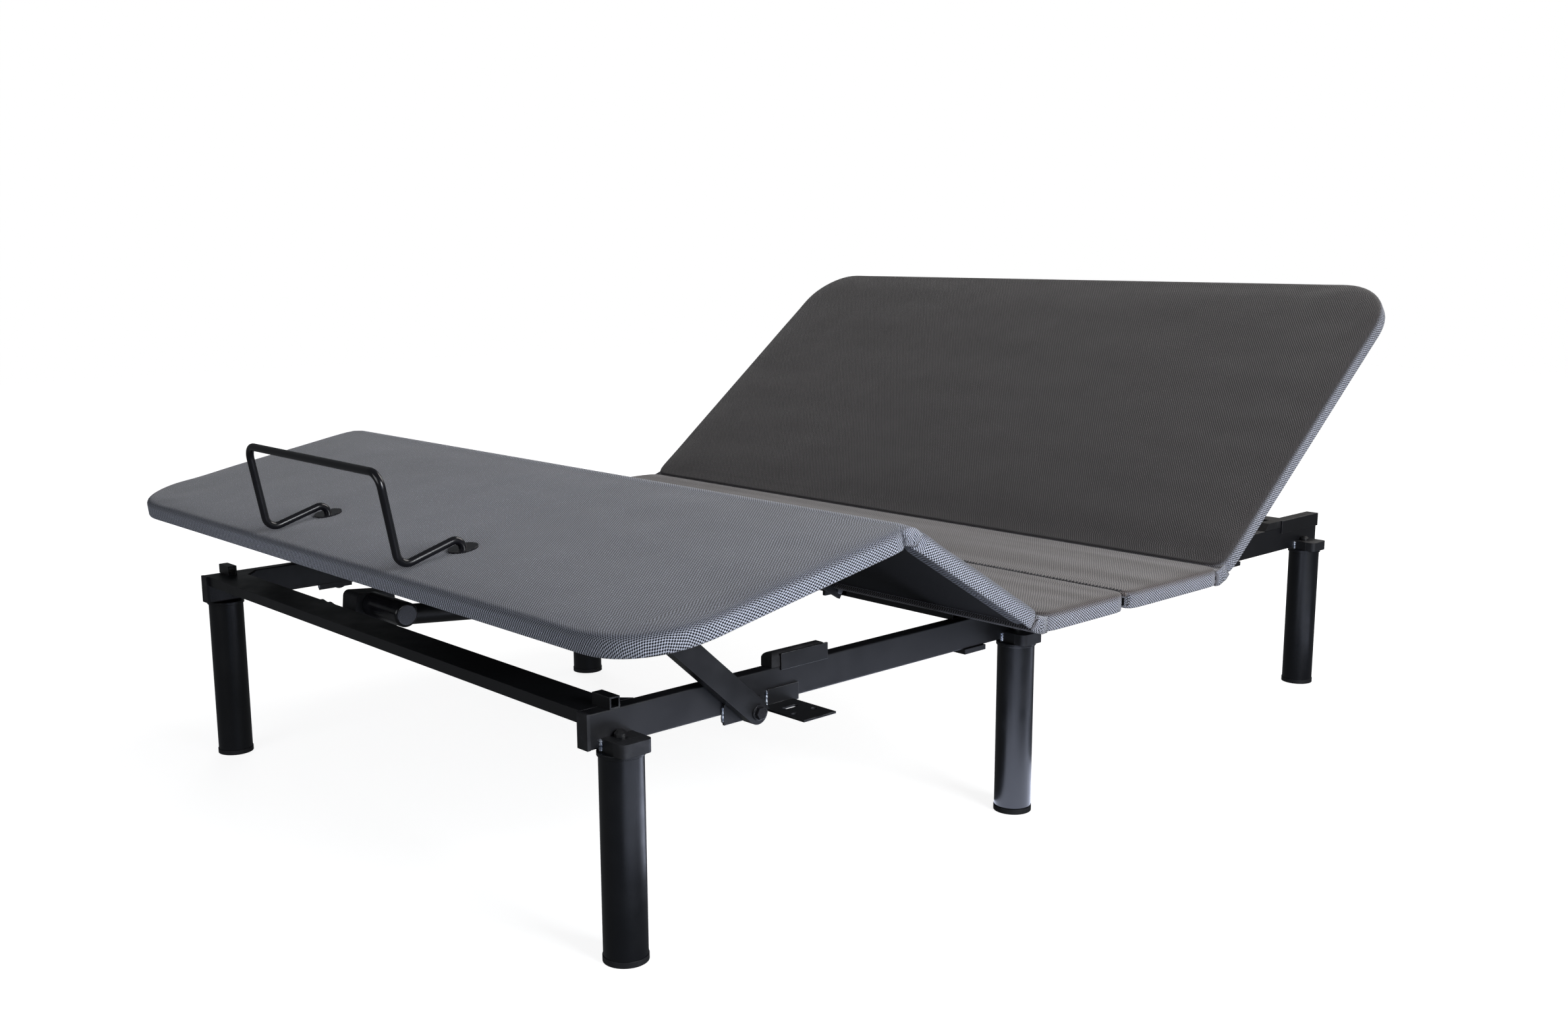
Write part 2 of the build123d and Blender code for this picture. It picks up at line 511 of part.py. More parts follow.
REST_HEIGHT, REST_START, REST_SLANT = 14.4, 804, 14
with BuildPart() as rest_bars:
    for side in SIDES.values():
        with BuildSketch(side_plane(Plane.XY, side * (HEAD_RAIL_X - RAIL_WIDTH / 2))):
            with BuildLine():
                Polyline((REST_START, RAIL_TOP), (HEAD_END_Y, RAIL_TOP),
                         (HEAD_END_Y, RAIL_TOP + REST_HEIGHT),
                         (REST_START + REST_SLANT, RAIL_TOP + REST_HEIGHT), close=True)
            make_face()
        extrude(amount=RAIL_WIDTH / 2, both=True)
write_step(rest_bars, "head_rest_bars")

HEADBOARD_Y, HEADBOARD_LENGTH, HEADBOARD_LOW, HEADBOARD_THICK = 864, 145.5, 327, 4
headboard_z = (HEADBOARD_LOW + RAIL_TOP + REST_HEIGHT) / 2
with BuildPart() as headboard_plates:
    for side in SIDES.values():
        plate_x = side * (HEAD_RAIL_X + HEADBOARD_THICK / 2)
        with BuildSketch(side_plane(Plane.XY, plate_x)):
            with Locations((HEADBOARD_Y + HEADBOARD_LENGTH / 2, headboard_z)):
                Rectangle(HEADBOARD_LENGTH, RAIL_TOP + REST_HEIGHT - HEADBOARD_LOW)
        extrude(amount=HEADBOARD_THICK / 2, both=True)
write_step(headboard_plates, "headboard_plates")

# ---- link arms that carry the foot panel -----------------------------------------------------
ARM_BRACKET, ARM_BRACKET_THICK = (67, 29), 3.65
with BuildPart() as arm_brackets:
    for side in SIDES.values():
        with BuildSketch(side_plane(Plane.XY, side * (FOOT_RAIL_X + ARM_BRACKET_THICK / 2))):
            with Locations((ARM_PIVOT[0] - 10.5, ARM_PIVOT[1] + 0.5)):
                Rectangle(*ARM_BRACKET)
            with Locations(ARM_PIVOT):
                Circle(STUD_RADIUS + PIN_CLEARANCE, mode=Mode.SUBTRACT)
        extrude(amount=ARM_BRACKET_THICK / 2, both=True)
write_step(arm_brackets, "arm_pivot_brackets")

for side_name, side in SIDES.items():
    arm_plane = link_plane(side * (ARM_X + ARM_THICK / 2), ARM_PIVOT, ARM_ANGLE)
    with BuildPart() as arm:
        with BuildSketch(arm_plane):
            with Locations((ARM_LENGTH / 2, 0)):
                SlotOverall(ARM_LENGTH + ARM_WIDTH, ARM_WIDTH)
            Circle(STUD_RADIUS + PIN_CLEARANCE, mode=Mode.SUBTRACT)
            with Locations((ARM_LENGTH, 0)):
                Circle(ARM_TOP_HOLE, mode=Mode.SUBTRACT)
        extrude(amount=ARM_THICK / 2, both=True)
    write_step(arm, f"{side_name}_link_arm")


# ---- hinge and lever pins ----------------------------------------------------------------------
def pins(plane, x_places, at, radius, half):
    """Pins across the bed at each x of a plane, with a flat head at both ends."""
    for x in x_places:
        with BuildSketch(side_plane(plane, x)) as shank:
            with Locations(at):
                Circle(radius)
        extrude(shank.sketch, amount=half, both=True)
        for end in (-1, 1):
            with BuildSketch(side_plane(plane, x + end * half)) as pin_head:
                with Locations(at):
                    Circle(radius + 2)
            extrude(pin_head.sketch, amount=end * PIN_HEAD)


HINGE_PLACES, HINGE_HALF, FORK_HALF, PIN_HEAD = (-HINGE_X, HINGE_X), 16.5, 17, 1.5
with BuildPart() as head_pins:
    pins(head_plane, HINGE_PLACES, (0, 0), PIN_RADIUS, HINGE_HALF)
    pins(head_plane, (HEAD_ACTUATOR_X,), head_tip, PIN_RADIUS, FORK_HALF)
write_step(head_pins, "head_frame_pins")

with BuildPart() as thigh_pins:
    pins(thigh_plane, HINGE_PLACES, (0, 0), PIN_RADIUS, HINGE_HALF)
    pins(knee_of_thigh, HINGE_PLACES, (0, 0), KNEE_PIN_RADIUS, HINGE_HALF)
    pins(thigh_plane, (LEG_ACTUATOR_X,), thigh_tip, PIN_RADIUS, FORK_HALF)
write_step(thigh_pins, "thigh_frame_pins")

with BuildPart() as foot_pins:
    for side in SIDES.values():
        for start_x, length, radius in ((ARM_X + 1, 28, PIN_RADIUS), (ARM_X + 29, 2, 7)):
            with BuildSketch(side_plane(foot_plane, side * start_x)):
                with Locations(arm_tip):
                    Circle(radius)
            extrude(amount=side * length)
write_step(foot_pins, "foot_frame_pins")

with BuildPart() as clevis_pins:
    pins(Plane.XY, (LEG_ACTUATOR_X,), LEG_CLEVIS, PIN_RADIUS, FORK_HALF)
    pins(Plane.XY, (HEAD_ACTUATOR_X,), HEAD_CLEVIS, PIN_RADIUS, FORK_HALF)
write_step(clevis_pins, "actuator_rear_pins")


# ---- actuators ---------------------------------------------------------------------------------
def make_actuator(name, x, clevis, target, outer_end, rod_start, slot, motor_side):
    """Motor, gearbox, outer tube and rod, from the rear pin at clevis to the lever pin at target."""
    along, above = target[0] - clevis[0], target[1] - clevis[1]
    length = hypot(along, above)
    axis = link_plane(x, clevis, degrees(atan2(above, along)))
    bore = Plane(origin=axis.origin, z_dir=axis.x_dir)
    motor_plane = axis.offset(motor_side * GEARBOX_WIDTH / 2)
    print(name, "pin to pin", round(length, 3), "tilt", round(degrees(atan2(above, along)), 3))

    with BuildPart() as gearbox:
        with BuildSketch(axis):
            with Locations(((GEARBOX_START + GEARBOX_END) / 2, (GEARBOX_TOP + GEARBOX_LOW) / 2)):
                RectangleRounded(GEARBOX_END - GEARBOX_START, GEARBOX_TOP - GEARBOX_LOW, 10)
        extrude(amount=GEARBOX_WIDTH / 2, both=True)
        with BuildSketch(axis):
            with Locations((GEARBOX_START, 0)):
                Rectangle(2 * GEARBOX_START, 2 * REAR_EYE)
            Circle(REAR_EYE)
            Circle(PIN_RADIUS + PIN_CLEARANCE, mode=Mode.SUBTRACT)
        extrude(amount=EYE_HALF, both=True)
        with BuildSketch(bore.offset(GEARBOX_START + 12)):
            Circle(ROD_RADIUS + SLIDE)
        extrude(amount=GEARBOX_END, mode=Mode.SUBTRACT)
    write_step(gearbox, f"{name}_gearbox")

    with BuildPart() as motor:
        with BuildSketch(motor_plane):
            with Locations((MOTOR_ALONG, MOTOR_ABOVE)):
                Circle(MOTOR_RADIUS)
        extrude(amount=motor_side * MOTOR_LENGTH)
        end_face = motor.faces().sort_by(Axis.X)[-1 if motor_side > 0 else 0]
        fillet(end_face.edges(), 5)
    write_step(motor, f"{name}_motor")

    with BuildPart() as outer_tube:
        with BuildSketch(bore.offset(GEARBOX_END)):
            Circle(OUTER_RADIUS)
            Circle(ROD_RADIUS + SLIDE, mode=Mode.SUBTRACT)
        extrude(amount=outer_end - GEARBOX_END)
    write_step(outer_tube, f"{name}_outer_tube")

    with BuildPart() as rod:
        with BuildSketch(bore.offset(rod_start)):
            Circle(ROD_RADIUS)
        extrude(amount=length - slot[0] / 2 - EYE_WALL / 2 - rod_start)
        with BuildSketch(axis):
            with Locations((length, 0)):
                RectangleRounded(slot[0] + 2 * EYE_WALL, slot[1] + 2 * EYE_WALL, 5)
                SlotOverall(slot[1], slot[0], rotation=90, mode=Mode.SUBTRACT)
        extrude(amount=EYE_HALF, both=True)
    write_step(rod, f"{name}_rod")


def to_world(plane, place):
    """(y, z) of a place given as (along, up) in a plane's own y and z."""
    world = plane.from_local_coords((0, *place))
    return (world.Y, world.Z)


make_actuator("leg_actuator", LEG_ACTUATOR_X, LEG_CLEVIS, to_world(thigh_plane, thigh_tip),
              LEG_OUTER_END, 300, LEG_SLOT, 1)
make_actuator("head_actuator", HEAD_ACTUATOR_X, HEAD_CLEVIS, to_world(head_plane, head_tip),
              HEAD_OUTER_END, 215, HEAD_SLOT, -1)

# ---- control box, power supply and inlet -------------------------------------------------------
BOX_Y, BOX_LENGTH, BOX_HEIGHT = -90, 100, 38
with BuildPart() as control_box:
    with Locations((CONTROL_BOX_X, BOX_Y, RAIL_TOP - BOX_HEIGHT / 2)):
        Box(90, BOX_LENGTH, BOX_HEIGHT)
    fillet(control_box.edges().filter_by(Axis.Z), 6)
write_step(control_box, "control_box")

with BuildPart() as power_supply:
    with Locations((POWER_SUPPLY_X, BOX_Y, RAIL_TOP - BOX_HEIGHT / 2)):
        Box(80, BOX_LENGTH, BOX_HEIGHT)
    fillet(power_supply.edges().filter_by(Axis.Z), 6)
    with Locations((POWER_SUPPLY_X, BOX_Y + BOX_LENGTH / 2, RAIL_TOP - BOX_HEIGHT / 2)):
        Box(28, 40, 20, mode=Mode.SUBTRACT)
write_step(power_supply, "power_supply")

with BuildPart() as inlet:
    with Locations((POWER_SUPPLY_X, BOX_Y + BOX_LENGTH / 2 - 9, RAIL_TOP - BOX_HEIGHT / 2)):
        Box(28, 22, 20)
    with Locations((POWER_SUPPLY_X, BOX_Y + BOX_LENGTH / 2 - 4, RAIL_TOP - BOX_HEIGHT / 2)):
        Box(22, 16, 14, mode=Mode.SUBTRACT)
write_step(inlet, "power_inlet")
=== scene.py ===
"""Looks of the adjustable bed base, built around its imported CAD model. Metres, Z up."""

from math import cos, hypot, pi, radians, sin, tan

import bmesh
import bpy
import numpy as np
from mathutils import Matrix, Vector


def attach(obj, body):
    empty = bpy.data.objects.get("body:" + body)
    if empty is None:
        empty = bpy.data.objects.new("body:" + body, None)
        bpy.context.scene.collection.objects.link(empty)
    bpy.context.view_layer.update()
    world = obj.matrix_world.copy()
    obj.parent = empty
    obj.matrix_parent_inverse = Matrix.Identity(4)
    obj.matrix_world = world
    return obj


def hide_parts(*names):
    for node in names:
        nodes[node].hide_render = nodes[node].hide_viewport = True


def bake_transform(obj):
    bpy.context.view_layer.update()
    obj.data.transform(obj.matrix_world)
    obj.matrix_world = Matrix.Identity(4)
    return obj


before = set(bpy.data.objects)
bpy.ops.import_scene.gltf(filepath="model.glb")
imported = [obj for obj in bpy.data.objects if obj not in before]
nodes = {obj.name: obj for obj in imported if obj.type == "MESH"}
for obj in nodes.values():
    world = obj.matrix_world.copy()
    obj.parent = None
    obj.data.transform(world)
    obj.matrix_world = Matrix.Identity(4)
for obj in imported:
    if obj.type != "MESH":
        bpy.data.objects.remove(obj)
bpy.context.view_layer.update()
scene = bpy.context.scene
scene.view_settings.view_transform = "Standard"
scene.view_settings.look = "None"
rng = np.random.default_rng(7)

# ---- sizes shared with the CAD ---------------------------------------------------------------
HALF_WIDTH, PAD = 0.762, 0.030  # half the deck's width, and a panel's thickness
CORNER = 0.110  # radius of the deck's four outer corners
SKIRT, BOARD_LOW, BOARD_TOP = 0.012, 0.006, 0.018  # fabric beside the board, and its two faces
FOOT_L, THIGH_L, HEAD_L = 0.465, 0.328, 0.745
SEAT_START, SEAM, SEAT_END, SEAT_Z = -0.241, -0.030, 0.237, 0.354
THIGH_PIVOT, HEAD_PIVOT = (-0.250, SEAT_Z), (0.244, SEAT_Z + PAD / 2)
THIGH_TILT, FOOT_TILT, HEAD_TILT = -31.0, 10.5, 38.4


def along(origin, tilt, y, z):
    """(y, z) of the row frame for a place y along and z above a hinged plane."""
    c, s = cos(radians(tilt)), sin(radians(tilt))
    return (origin[0] + y * c - z * s, origin[1] + y * s + z * c)


KNEE_PIVOT = along(THIGH_PIVOT, THIGH_TILT, -THIGH_L, 0)
HEAD_UNDER = along(HEAD_PIVOT, HEAD_TILT, 0, -PAD / 2)

# ---- camera ----------------------------------------------------------------------------------
CAMERA_AT = Vector((2.1343, -2.0478, 0.9247))
YAW, PITCH, ROLL = radians(46.952), radians(-10.507), radians(-0.223)
SENSOR = 36  # width in millimetres
FOCAL_SHARE = 2378.14 / 2380  # focal length, as a share of the image width
forward = Vector((-sin(YAW) * cos(PITCH), cos(YAW) * cos(PITCH), sin(PITCH)))
right = forward.cross(Vector((0, 0, 1))).normalized()
up = right.cross(forward)
right, up = right * cos(ROLL) + up * sin(ROLL), up * cos(ROLL) - right * sin(ROLL)
camera_data = bpy.data.cameras.new("camera")
camera_data.sensor_width = SENSOR
camera_data.lens = FOCAL_SHARE * SENSOR
camera_data.shift_x, camera_data.shift_y = 0.0005, 0.0111
camera = bpy.data.objects.new("camera", camera_data)
scene.collection.objects.link(camera)
turn = Matrix((right, up, -forward)).transposed()
camera.matrix_world = Matrix.Translation(CAMERA_AT) @ turn.to_4x4()
scene.camera = camera


# ---- materials -------------------------------------------------------------------------------
class Shader:
    """A material with a Principled shader and short calls for the nodes that feed it."""

    def __init__(self, name, **sockets):
        self.material = bpy.data.materials.new(name)
        self.material.use_nodes = True
        self.tree = self.material.node_tree
        self.out = self.tree.nodes["Principled BSDF"]
        for key, value in sockets.items():
            self.out.inputs[key.replace("_", " ")].default_value = value

    def node(self, kind, settings=None, **inputs):
        """A new node. Inputs go by name, or by number as i0, i1 and so on."""
        n = self.tree.nodes.new("ShaderNode" + kind)
        for key, value in (settings or {}).items():
            setattr(n, key, value)
        for key, value in inputs.items():
            numbered = key[0] == "i" and key[1:].isdigit()
            self.feed(n.inputs[int(key[1:]) if numbered else key.replace("_", " ")], value)
        return n

    def feed(self, socket, value):
        if isinstance(value, bpy.types.NodeSocket):
            self.tree.links.new(value, socket)
        else:
            socket.default_value = value

    def set(self, socket, value):
        self.feed(self.out.inputs[socket], value)

    def math(self, operation, a, b=0.0, c=0.0):
        return self.node("Math", {"operation": operation}, i0=a, i1=b, i2=c).outputs[0]

    def remap(self, value, low, high, to_low=0.0, to_high=1.0):
        n = self.node("MapRange", {"interpolation_type": "SMOOTHSTEP"}, Value=value)
        for key, number in (("From Min", low), ("From Max", high), ("To Min", to_low),
                            ("To Max", to_high)):
            n.inputs[key].default_value = number
        return n.outputs[0]

    def mix(self, factor, a, b):
        n = self.node("Mix", {"data_type": "RGBA"})
        self.feed(n.inputs[0], factor)
        self.feed(n.inputs[6], a)
        self.feed(n.inputs[7], b)
        return n.outputs[2]

    def noise(self, vector, scale, detail=2.0, rough=0.5):
        return self.node("TexNoise", None, Vector=vector, Scale=scale, Detail=detail,
                         Roughness=rough).outputs[0]

    def bump(self, height, distance, strength=1.0, normal=None):
        n = self.node("Bump", None, Height=height, Distance=distance, Strength=strength)
        if normal is not None:
            self.feed(n.inputs["Normal"], normal)
        return n.outputs[0]

    def scale(self, vector, factor):
        n = self.node("VectorMath", {"operation": "SCALE"}, i0=vector)
        self.feed(n.inputs["Scale"], factor)
        return n.outputs[0]

    def place(self):
        return self.node("TexCoord").outputs["Object"]

    def rounded_normal(self, radius):
        """The normal as it would be with every edge rounded to this radius."""
        return self.node("Bevel", {"samples": 4}, Radius=radius).outputs[0]


def rgb(r, g, b):
    return (r, g, b, 1.0)


HOLE_PITCH_X, HOLE_PITCH_Y = 0.0046, 0.0062  # spacing of the knitted mesh's holes


def mesh_fabric(name, yarn, hole, painted_lit_side, drawn=0.12):
    """Open knitted mesh over dark foam, with staggered holes and a slightly uneven shade.
    The weave attribute gives a point's place on the flat fabric and, as its third number, the
    share it has of the paler side colour: painted light that stands in for the light falling on
    the panels' sides, carried on round underneath. Drawn is how strong the folds across the bed
    are."""
    s = Shader(name, Roughness=0.82, Sheen_Weight=0.25, Sheen_Roughness=0.45,
               Specular_IOR_Level=0.25)
    weave = s.node("Attribute", {"attribute_name": "weave"}).outputs["Vector"]
    parts = s.node("SeparateXYZ", None, Vector=weave)
    u, v, painted_lit_share = parts.outputs[0], parts.outputs[1], parts.outputs[2]
    warp = s.noise(weave, 9.0, 2.0)
    shift = s.math("MULTIPLY", s.math("SUBTRACT", warp, 0.5), 0.004)
    wave_u, wave_v = (
        s.math("COSINE", s.math("MULTIPLY", s.math("ADD", at, shift), 2 * pi / pitch))
        for at, pitch in ((u, HOLE_PITCH_X), (v, HOLE_PITCH_Y)))
    lattice = s.math("MULTIPLY", wave_u, wave_v)
    holes = s.remap(lattice, -0.30, 0.26)
    shade = s.math("ADD", s.math("MULTIPLY", s.noise(weave, 2.2, 3.0), 0.5), 0.75)
    glint = s.remap(s.noise(weave, 420.0, 1.0), 0.60, 0.72, 0.0, 0.9)
    speck = s.math("ADD", s.math("ADD", s.math("MULTIPLY", s.noise(weave, 1100.0, 1.0), 0.7),
                                 0.6), glint)
    tone = s.math("MULTIPLY", shade, speck)
    # the sides and underneath take the paler colour: painted light standing in for the light on
    # the sides
    toned = s.scale(s.mix(painted_lit_share, yarn, painted_lit_side), tone)
    s.set("Base Color", s.mix(holes, toned, hole))
    along_rows = s.node("VectorMath", {"operation": "MULTIPLY"}, i0=weave,
                        i1=(0.25, 2.4, 0.0)).outputs[0]
    folds = s.math("MULTIPLY", s.noise(along_rows, 5.0, 0.6), 4.0 * drawn)
    wrinkle = s.bump(s.math("ADD", folds, s.math("MULTIPLY", s.noise(weave, 9.0, 1.0), 0.5)),
                     0.010, 0.5)
    s.set("Normal", s.bump(s.math("SUBTRACT", 1.0, holes), 0.0007, 0.55, wrinkle))
    return s.material


def coated_steel(name, base, rough, wear=0.035, peel=0.00006):
    """Powder-coated steel: orange peel, faint dusty clouds all over, coat rubbed thin along
    edges.
    """
    s = Shader(name, Specular_IOR_Level=0.5)
    place = s.place()
    edge_normal = s.rounded_normal(0.0012)
    geometry = s.node("NewGeometry")
    facing = s.node("VectorMath", {"operation": "DOT_PRODUCT"}, i0=edge_normal,
                    i1=geometry.outputs["Normal"]).outputs["Value"]
    edge = s.remap(facing, 0.985, 0.80)
    rubbed = s.math("MULTIPLY", edge, s.remap(s.noise(place, 60.0, 3.0), 0.35, 0.65))
    cloud = s.remap(s.noise(place, 7.0, 3.0), 0.2, 0.8, 0.8, 1.25)
    worn = tuple(min(1.0, c + wear) for c in base)
    s.set("Base Color", s.mix(rubbed, s.scale(base, cloud), rgb(*worn)))
    s.set("Roughness", s.remap(s.noise(place, 25.0, 3.0), 0.2, 0.8, rough - 0.05, rough + 0.06))
    s.set("Normal", s.bump(s.noise(place, 1400.0, 2.0), peel, 0.6, edge_normal))
    return s.material


def bright_steel(name, base, rough):
    """Zinc-plated or ground steel with fine turning marks."""
    s = Shader(name, Metallic=1.0)
    place = s.place()
    stretch = s.node("Mapping", None, Vector=place, Scale=(900.0, 60.0, 60.0)).outputs[0]
    marks = s.noise(stretch, 1.0, 2.0)
    stain = s.remap(s.noise(place, 40.0, 3.0), 0.3, 0.75)
    s.set("Base Color", s.mix(stain, rgb(*base), rgb(*(c * 0.62 for c in base))))
    s.set("Roughness", s.remap(marks, 0.2, 0.8, rough - 0.08, rough + 0.1))
    s.set("Normal", s.bump(marks, 0.00004, 0.5))
    return s.material


def moulded(name, base, rough, grain=700.0, depth=0.00008, spec=0.4):
    """Moulded plastic or rubber with a fine grain and lightly scuffed patches."""
    s = Shader(name, Specular_IOR_Level=spec)
    place = s.place()
    scuff = s.remap(s.noise(place, 45.0, 4.0), 0.45, 0.8)
    light = rgb(*(c * 1.9 + 0.004 for c in base))
    s.set("Base Color", s.mix(scuff, rgb(*base), light))
    s.set("Roughness", s.remap(s.noise(place, 30.0, 3.0), 0.25, 0.75, rough - 0.06, rough + 0.08))
    s.set("Normal", s.bump(s.noise(place, grain, 2.0), depth, 0.7, s.rounded_normal(0.0008)))
    return s.material


def lined_board(name):
    """Chipboard under black lining cloth: flecks, faint weave and dust."""
    s = Shader(name, Roughness=0.9, Specular_IOR_Level=0.12)
    place = s.place()
    dusty, dark = rgb(0.009, 0.0085, 0.0085), rgb(0.004, 0.004, 0.0045)
    flecks = s.node("TexVoronoi", None, Vector=place, Scale=260.0).outputs["Distance"]
    flecked = s.mix(s.remap(flecks, 0.1, 0.5), dusty, dark)
    dust = s.remap(s.noise(place, 5.0, 3.0), 0.3, 0.8)
    s.set("Base Color", s.mix(dust, flecked, dusty))
    s.set("Normal", s.bump(s.noise(place, 1200.0, 2.0), 0.0002, 0.5))
    return s.material


def weld_metal(name):
    """Weld bead: bluish bright steel with soot."""
    s = Shader(name, Metallic=0.85)
    place = s.place()
    heat = s.remap(s.noise(place, 130.0, 3.0), 0.3, 0.7)
    s.set("Base Color", s.mix(heat, rgb(0.62, 0.66, 0.74), rgb(0.10, 0.12, 0.16)))
    s.set("Roughness", s.remap(s.noise(place, 300.0, 2.0), 0.3, 0.7, 0.22, 0.5))
    s.set("Normal", s.bump(s.noise(place, 600.0, 2.0), 0.0002, 0.6))
    return s.material


# yarn is the fabric's colour on top. The sides and underneath take a paler colour, painted light
# that stands in for the light falling on the sides.
COOL = mesh_fabric("fabric_cool", yarn=rgb(0.235, 0.250, 0.300), hole=rgb(0.010, 0.010, 0.013),
                   painted_lit_side=rgb(0.54, 0.57, 0.68))
# the same fabric, tinted warm and toned darker: painted warm reflected light and shade on the
# seat, the thigh and head creases and the seam strip
FABRIC_PAINTED_WARM_LIGHT = mesh_fabric("fabric_painted_warm_light", yarn=rgb(0.168, 0.145, 0.140), hole=rgb(0.009, 0.008, 0.008),
                   painted_lit_side=rgb(0.52, 0.54, 0.63), drawn=0.5)
# the same fabric, darkened: painted shade on the head panel, which faces away from the light
FABRIC_PAINTED_SHADE = mesh_fabric("fabric_painted_shade", yarn=rgb(0.090, 0.081, 0.083), hole=rgb(0.007, 0.007, 0.007),
                   painted_lit_side=rgb(0.52, 0.54, 0.63))
STEEL = coated_steel("black_powder_coat", (0.0062, 0.0064, 0.0080), 0.40)
WORN_STEEL = coated_steel("worn_powder_coat", (0.0060, 0.0062, 0.0075), 0.38, 0.16)
LEG_STEEL = coated_steel("leg_powder_coat", (0.0052, 0.0060, 0.0084), 0.32)
ROD_STEEL = coated_steel("gloss_black_rod", (0.006, 0.006, 0.008), 0.2, 0.02)
BRIGHT = bright_steel("bright_steel", (0.52, 0.53, 0.55), 0.3)
BLACK_BOLT = coated_steel("black_oxide", (0.013, 0.013, 0.016), 0.3, 0.10)
PLASTIC = moulded("black_plastic", (0.014, 0.0145, 0.017), 0.5)
KNOB = moulded("knob_plastic", (0.010, 0.010, 0.011), 0.35, 400.0)
RUBBER = moulded("black_rubber", (0.011, 0.011, 0.012), 0.68, 900.0, 0.00015, 0.3)
GLOSS = moulded("motor_plastic", (0.008, 0.008, 0.010), 0.22, 300.0, 0.00003, 0.5)
BOARD = lined_board("board_lining")
WELD = weld_metal("weld_metal")
THREAD = moulded("stitch_thread", (0.035, 0.035, 0.038), 0.8, 1500.0, 0.0002, 0.2)

# every CAD node that stays shown, by its finish; {s} is each side and {p} each panel
FINISH = {
    LEG_STEEL: ["{s}_foot_leg", "{s}_middle_leg", "{s}_head_leg"],
    STEEL: ["{s}_rail_foot_half", "{s}_rail_head_half", "leg_brackets", "rail_splice_blocks",
            "foot_crossbeam", "head_crossbeam", "rail_saddles", "seat_frame_foot_half",
            "seat_frame_head_half", "head_lift_frame", "thigh_lift_frame", "foot_frame",
            "{s}_link_arm", "leg_actuator_outer_tube", "head_actuator_outer_tube"],
    WORN_STEEL: ["deck_stops", "rail_brackets", "headboard_plates", "arm_pivot_brackets"],
    ROD_STEEL: ["mattress_retainer"],
    BLACK_BOLT: ["frame_bolts", "foot_frame_pins"],
    BRIGHT: ["actuator_rear_pins", "head_frame_pins", "thigh_frame_pins", "leg_actuator_rod",
             "head_actuator_rod"],
    PLASTIC: ["plastic_end_caps", "leg_foot_caps", "control_box", "power_supply",
              "power_inlet", "leg_actuator_gearbox", "head_actuator_gearbox"],
    GLOSS: ["leg_actuator_motor", "head_actuator_motor", "retainer_grommets"],
    KNOB: ["leg_bolts"],
    RUBBER: ["rubber_bumpers", "head_rest_bars"],
    BOARD: ["{p}_board"],
}
PANELS = ("foot", "thigh", "seat_foot_half", "seat_head_half", "head")


def finish_with(obj, material):
    """The object's only material; its mesh stays as it is."""
    obj.data.materials.clear()
    obj.data.materials.append(material)


for material, patterns in FINISH.items():
    for pattern in patterns:
        wanted = {pattern.format(s=s, p=p) for s in ("left", "right") for p in PANELS}
        for node in sorted(wanted):
            finish_with(nodes[node], material)


# ---- mesh helpers ----------------------------------------------------------------------------
def new_object(name, points, faces, material):
    mesh = bpy.data.meshes.new(name)
    mesh.from_pydata([tuple(p) for p in points], [], faces)
    mesh.materials.append(material)
    mesh.shade_smooth()
    mesh.update()
    obj = bpy.data.objects.new(name, mesh)
    scene.collection.objects.link(obj)
    return obj


def apply_all(obj):
    """The mesh as its modifiers leave it, with none left."""
    graph = bpy.context.evaluated_depsgraph_get()
    made = bpy.data.meshes.new_from_object(obj.evaluated_get(graph), depsgraph=graph)
    obj.modifiers.clear()
    obj.data = made


def coords(obj):
    co = np.zeros(len(obj.data.vertices) * 3)
    obj.data.vertices.foreach_get("co", co)
    return co.reshape(-1, 3)


def set_coords(obj, co):
    obj.data.vertices.foreach_set("co", co.ravel())
    obj.data.update()


def set_vector(obj, name, values):
    attribute = obj.data.attributes.get(name) or obj.data.attributes.new(
        name, "FLOAT_VECTOR", "POINT")
    attribute.data.foreach_set("vector", np.asarray(values, np.float32).ravel())


def fix_normals(obj):
    """Turns every face of a closed mesh outwards."""
    bm = bmesh.new()
    bm.from_mesh(obj.data)
    bmesh.ops.recalc_face_normals(bm, faces=bm.faces)
    bm.to_mesh(obj.data)
    bm.free()


def smoothstep(low, high, value):
    t = np.clip((value - low) / (high - low), 0, 1)
    return t * t * (3 - 2 * t)


# ---- padded covers ---------------------------------------------------------------------------
# the fabric's way from the top, round the side, under as a hem and up into the board's pocket:
# (share of the edge inset, extra metres outward, height)
EDGE_PROFILE = [(0.24, 0, 0.0300), (0.50, 0, 0.0295), (0.74, 0, 0.0278), (0.91, 0, 0.0250),
                (1.0, 0, 0.0212), (1.0, 0, 0.0160), (1.0, 0, 0.0110), (0.99, 0, 0.0062),
                (0.94, 0, 0.0024), (0.80, 0, 0.0005), (0.58, 0, 0.0), (0.36, 0, 0.0010),
                (0.16, 0, 0.0030), (0, -0.003, 0.0046), (0, -0.009, 0.0050),
                (0, -0.0135, 0.0046), (0, -0.0160, 0.0024), (0, -0.0190, 0.0014),
                (0, -0.0220, 0.0020), (0, -0.0238, 0.0040), (0, -0.0222, 0.0057),
                (0, -0.0120, 0.0059), (0, -0.0010, 0.0059), (0, 0.0002, 0.0070),
                (0, 0.0003, 0.0120), (0, 0.0002, 0.0178), (0, -0.0020, 0.0183),
                (0, -0.0160, 0.0184)]
PINNED_FROM = 9  # the simulation holds the profile from this place on
TOP_SHARES = (0.4, 0.75, 1.0)  # rows on the top between the inner grid and the edge
INNER_INSET, INNER_INSET_HINGE = 0.045, 0.022  # from the edge to the inner grid
HEM_AT_HINGE = 0.0059  # lowest place of the hem at a hinge, clear of the parts below it
POCKET_TOP = BOARD_TOP + 0.0004


